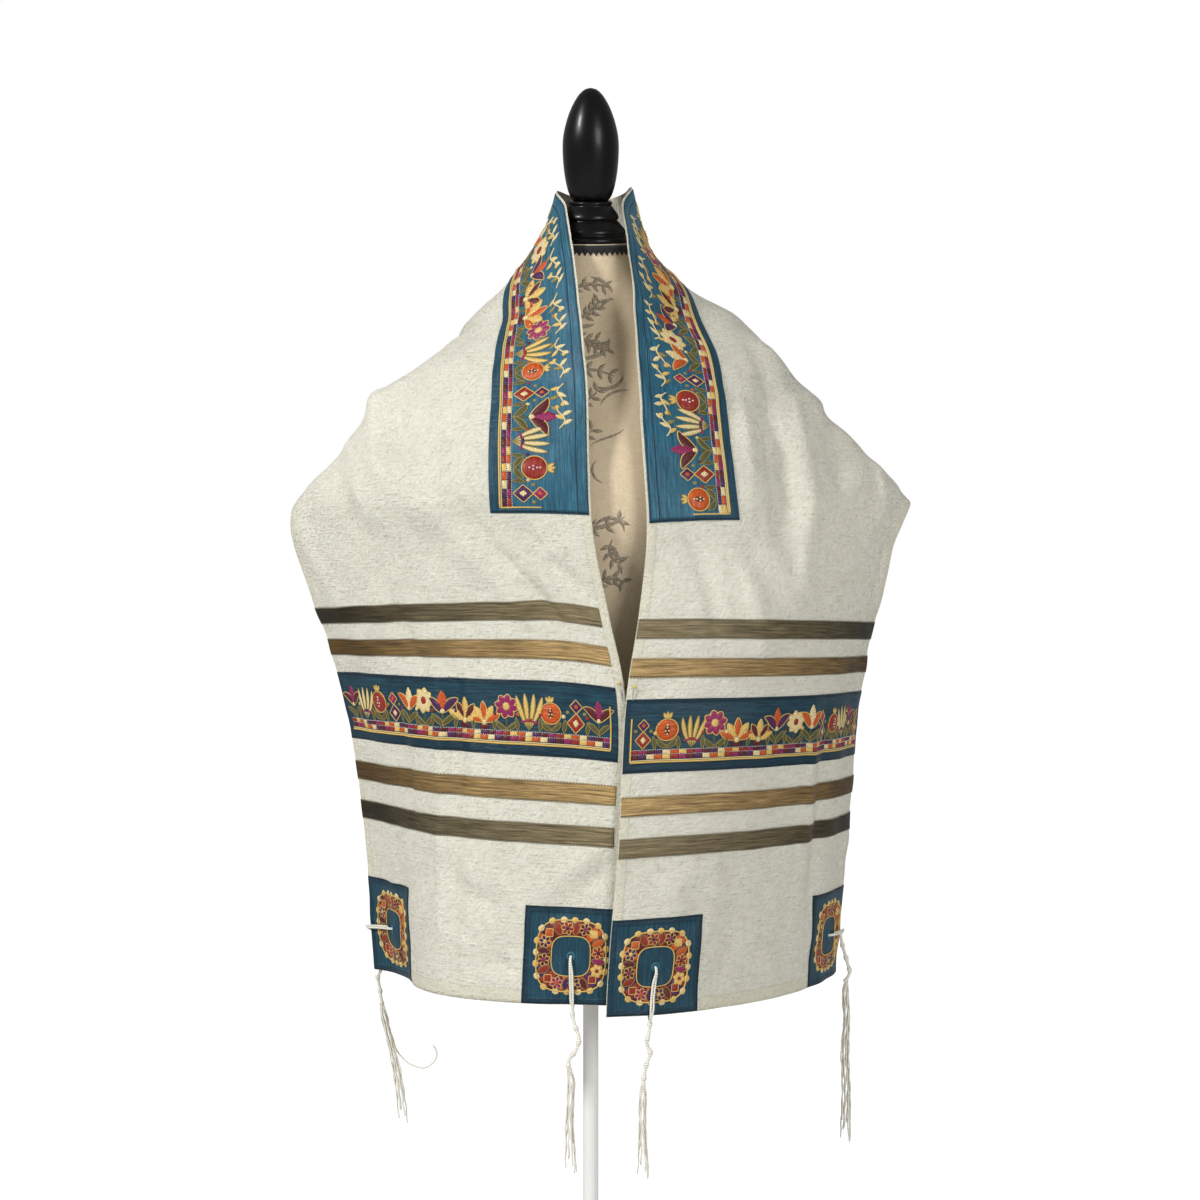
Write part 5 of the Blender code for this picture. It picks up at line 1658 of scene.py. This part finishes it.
def tassel(side, corner):
    loop_rows, loop_across, stem_length, line_rows = TASSELS[side, corner]
    bag = ([], [], [])
    line = bent(zip(line_rows["x"], line_rows["y"], line_rows["z"]), 0.001)
    lengths = lengths_along(line)

    def along_line(distance):
        return Vector([float(np.interp(distance, lengths, line[:, k])) for k in range(3)])

    # the loop: two cords, side by side on the cloth, from the head through the eyelet
    top = along_line(0.0012)
    rows = np.array(list(zip(loop_rows["down"], loop_rows["outer"], loop_rows["out"])))
    apart = np.clip(np.hypot(rows[:, 0], rows[:, 1]) / 0.012, 0.25, 1.0)
    apart[0] = apart[-1] = 0.3
    for hand in (-1, 1):
        beside = np.outer(hand * LOOP_APART * apart, loop_across)
        path = [
            corner_spot(side, corner, down + shift[0], outer + shift[1], out)
            for (down, outer, out), shift in zip(rows, beside)
        ]
        path = bent([top, *path, top + Vector((0.0004 * hand, 0.0004, 0.0))], 0.0016)
        spun(bag, path, [CORD] * len(path), 7)

    # the stem: knots with windings between them
    stem_steps = np.arange(-0.0010, stem_length, 0.00036)
    swell = np.array([max(np.exp(-(((d - k) / 0.0026) ** 2)) for k in KNOTS) for d in stem_steps])
    winding = 0.00022 * np.abs(np.sin(stem_steps * pi / WINDING_PITCH))
    radii = 0.00155 + winding + 0.0013 * swell * (1 - 0.16 * np.cos(stem_steps * tau / 0.0021) ** 2)
    way = (along_line(0.002) - along_line(0.0)).normalized()
    stem = [along_line(max(d, 0.0)) + way * min(d, 0.0) for d in stem_steps]
    spun(bag, stem, radii, 12)

    # the free ends, cut to slightly different lengths
    for k in range(STRANDS):
        angle = tau * (k + 0.5) / STRANDS
        aside = Vector((cos(angle), sin(angle), 0.0))
        end = lengths[-1] - 0.004 * ((5 * k) % 7)
        places = [stem_length - 0.004, stem_length + 0.010]
        places += list(np.linspace(stem_length + 0.035, end, 4))
        points = []
        for i, distance in enumerate(places):
            out = (0.0007, 0.0030, SPREAD, SPREAD, SPREAD + 0.0008, SPREAD + 0.0016)[i]
            sway = 0.0008 * sin(2.1 * k + 1.7 * i) * (i > 1)
            points.append(along_line(distance) + aside * (out + sway))
        if (side, corner) == CURLED and k == 0:
            points = points[:3] + [points[2] + Vector((x, 0.0, z)) for x, z in zip(CURL["x"], CURL["z"])]
        path = bent(points, 0.003)
        wave = np.arange(len(path)) * 0.9 + 2.2 * k
        path[2:] += np.stack([np.cos(wave), np.sin(wave * 1.3), 0 * wave], axis=1)[2:] * 0.00035
        radii = np.full(len(path), STRAND)
        radii[-1] = STRAND * 0.6
        spun(bag, path, radii, 6)

    vertices, faces, places = bag
    piece = shown(f"cords_{side}_{corner}", vertices, faces, WOOL)
    marked(piece, "twist", places)
    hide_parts(f"tassel_{side}_{corner}")


for side in SIDES:
    for corner in PATCH_EDGES:
        tassel(side, corner)

# ------------------------------------------------------------------ pins
# Two steel pins with yellow glass heads hold the fronts where they meet.
PIN_HEAD = look("pin_head", (0.62, 0.45, 0.06), 0.15, coat=0.6)
PIN_STEEL = look("pin_steel", (0.62, 0.62, 0.64), 0.22, metallic=1.0)
PINS = table("""
    hand  back    across
   -1     0.6200  0.0040
    1     0.6225  0.0065
""")
for hand, back, across in zip(*PINS.values()):
    along = hand * back - SLIP
    head_spot = spot(along, across, 0.0026)
    way = (spot(along + hand * 0.004, across, 0.0022) - head_spot).normalized()
    set_down = Matrix.Translation(head_spot) @ way.to_track_quat("Z", "Y").to_matrix().to_4x4()
    ball = [(0.0016 * sin(a) + 0.00005, 0.0016 * cos(a)) for a in np.linspace(0.06, pi - 0.06, 14)]
    turned(f"pin_head_{int(hand)}", ball, 20, PIN_HEAD, set_down)
    turned(f"pin_shaft_{int(hand)}", [(0.0003, 0.0200), (0.0003, 0.0012)], 8, PIN_STEEL, set_down)

# ------------------------------------------------------------------ floor, light, camera
# A plain pale floor under a white surround, a large soft light to the viewer's left and
# a weaker one to the right.
FLOOR = look("floor", (0.50, 0.50, 0.50), 0.9)
tree = FLOOR.node_tree
shader = tree.nodes["Principled BSDF"]
shader.inputs["Emission Color"].default_value = (1.0, 1.0, 1.0, 1.0)
seen = node(tree, "ShaderNodeLightPath").outputs["Is Camera Ray"]
tree.links.new(ranged(tree, seen, 0.0, 1.0, 0.15, 0.84), shader.inputs["Emission Strength"])
FLOOR_REACH = 40.0
FLOOR_CORNERS = ((-1, -1), (1, -1), (1, 1), (-1, 1))
floor_mesh = bpy.data.meshes.new("floor")
floor_places = [(x * FLOOR_REACH, y * FLOOR_REACH, -0.0005) for x, y in FLOOR_CORNERS]
floor_mesh.from_pydata(floor_places, [], [(0, 1, 2, 3)])
floor = bpy.data.objects.new("floor", floor_mesh)
floor_mesh.materials.append(FLOOR)
bpy.context.scene.collection.objects.link(floor)

world = bpy.data.worlds.new("studio")
world.use_nodes = True
tree = world.node_tree
backdrop = tree.nodes["Background"]
backdrop.inputs["Color"].default_value = (1.0, 1.0, 1.0, 1.0)
seen = node(tree, "ShaderNodeLightPath").outputs["Is Camera Ray"]
tree.links.new(ranged(tree, seen, 0.0, 1.0, 0.37, 1.0), backdrop.inputs["Strength"])
bpy.context.scene.world = world
bpy.context.scene.view_settings.view_transform = "Standard"


def soft_light(name, place, aim, wide, power):
    lamp = bpy.data.lights.new(name, "AREA")
    lamp.shape = "SQUARE"
    lamp.size = wide
    lamp.energy = power
    thing = bpy.data.objects.new(name, lamp)
    bpy.context.scene.collection.objects.link(thing)
    thing.location = place
    thing.rotation_euler = (Vector(aim) - Vector(place)).to_track_quat("-Z", "Y").to_euler()


soft_light("key_light", (-2.4, -1.8, 2.7), (0.0, 0.0, 1.1), 0.5, 92)
soft_light("fill_light", (1.7, -2.8, 1.7), (0.0, 0.0, 1.05), 1.2, 46)

camera_data = bpy.data.cameras.new("camera")
camera_data.lens = 69.2
camera_data.sensor_width = 36.0
camera = bpy.data.objects.new("camera", camera_data)
camera.location = (0.0031, -2.4, 0.98)
camera.rotation_euler = (radians(90), 0.0, 0.0)
bpy.context.scene.collection.objects.link(camera)
bpy.context.scene.camera = camera
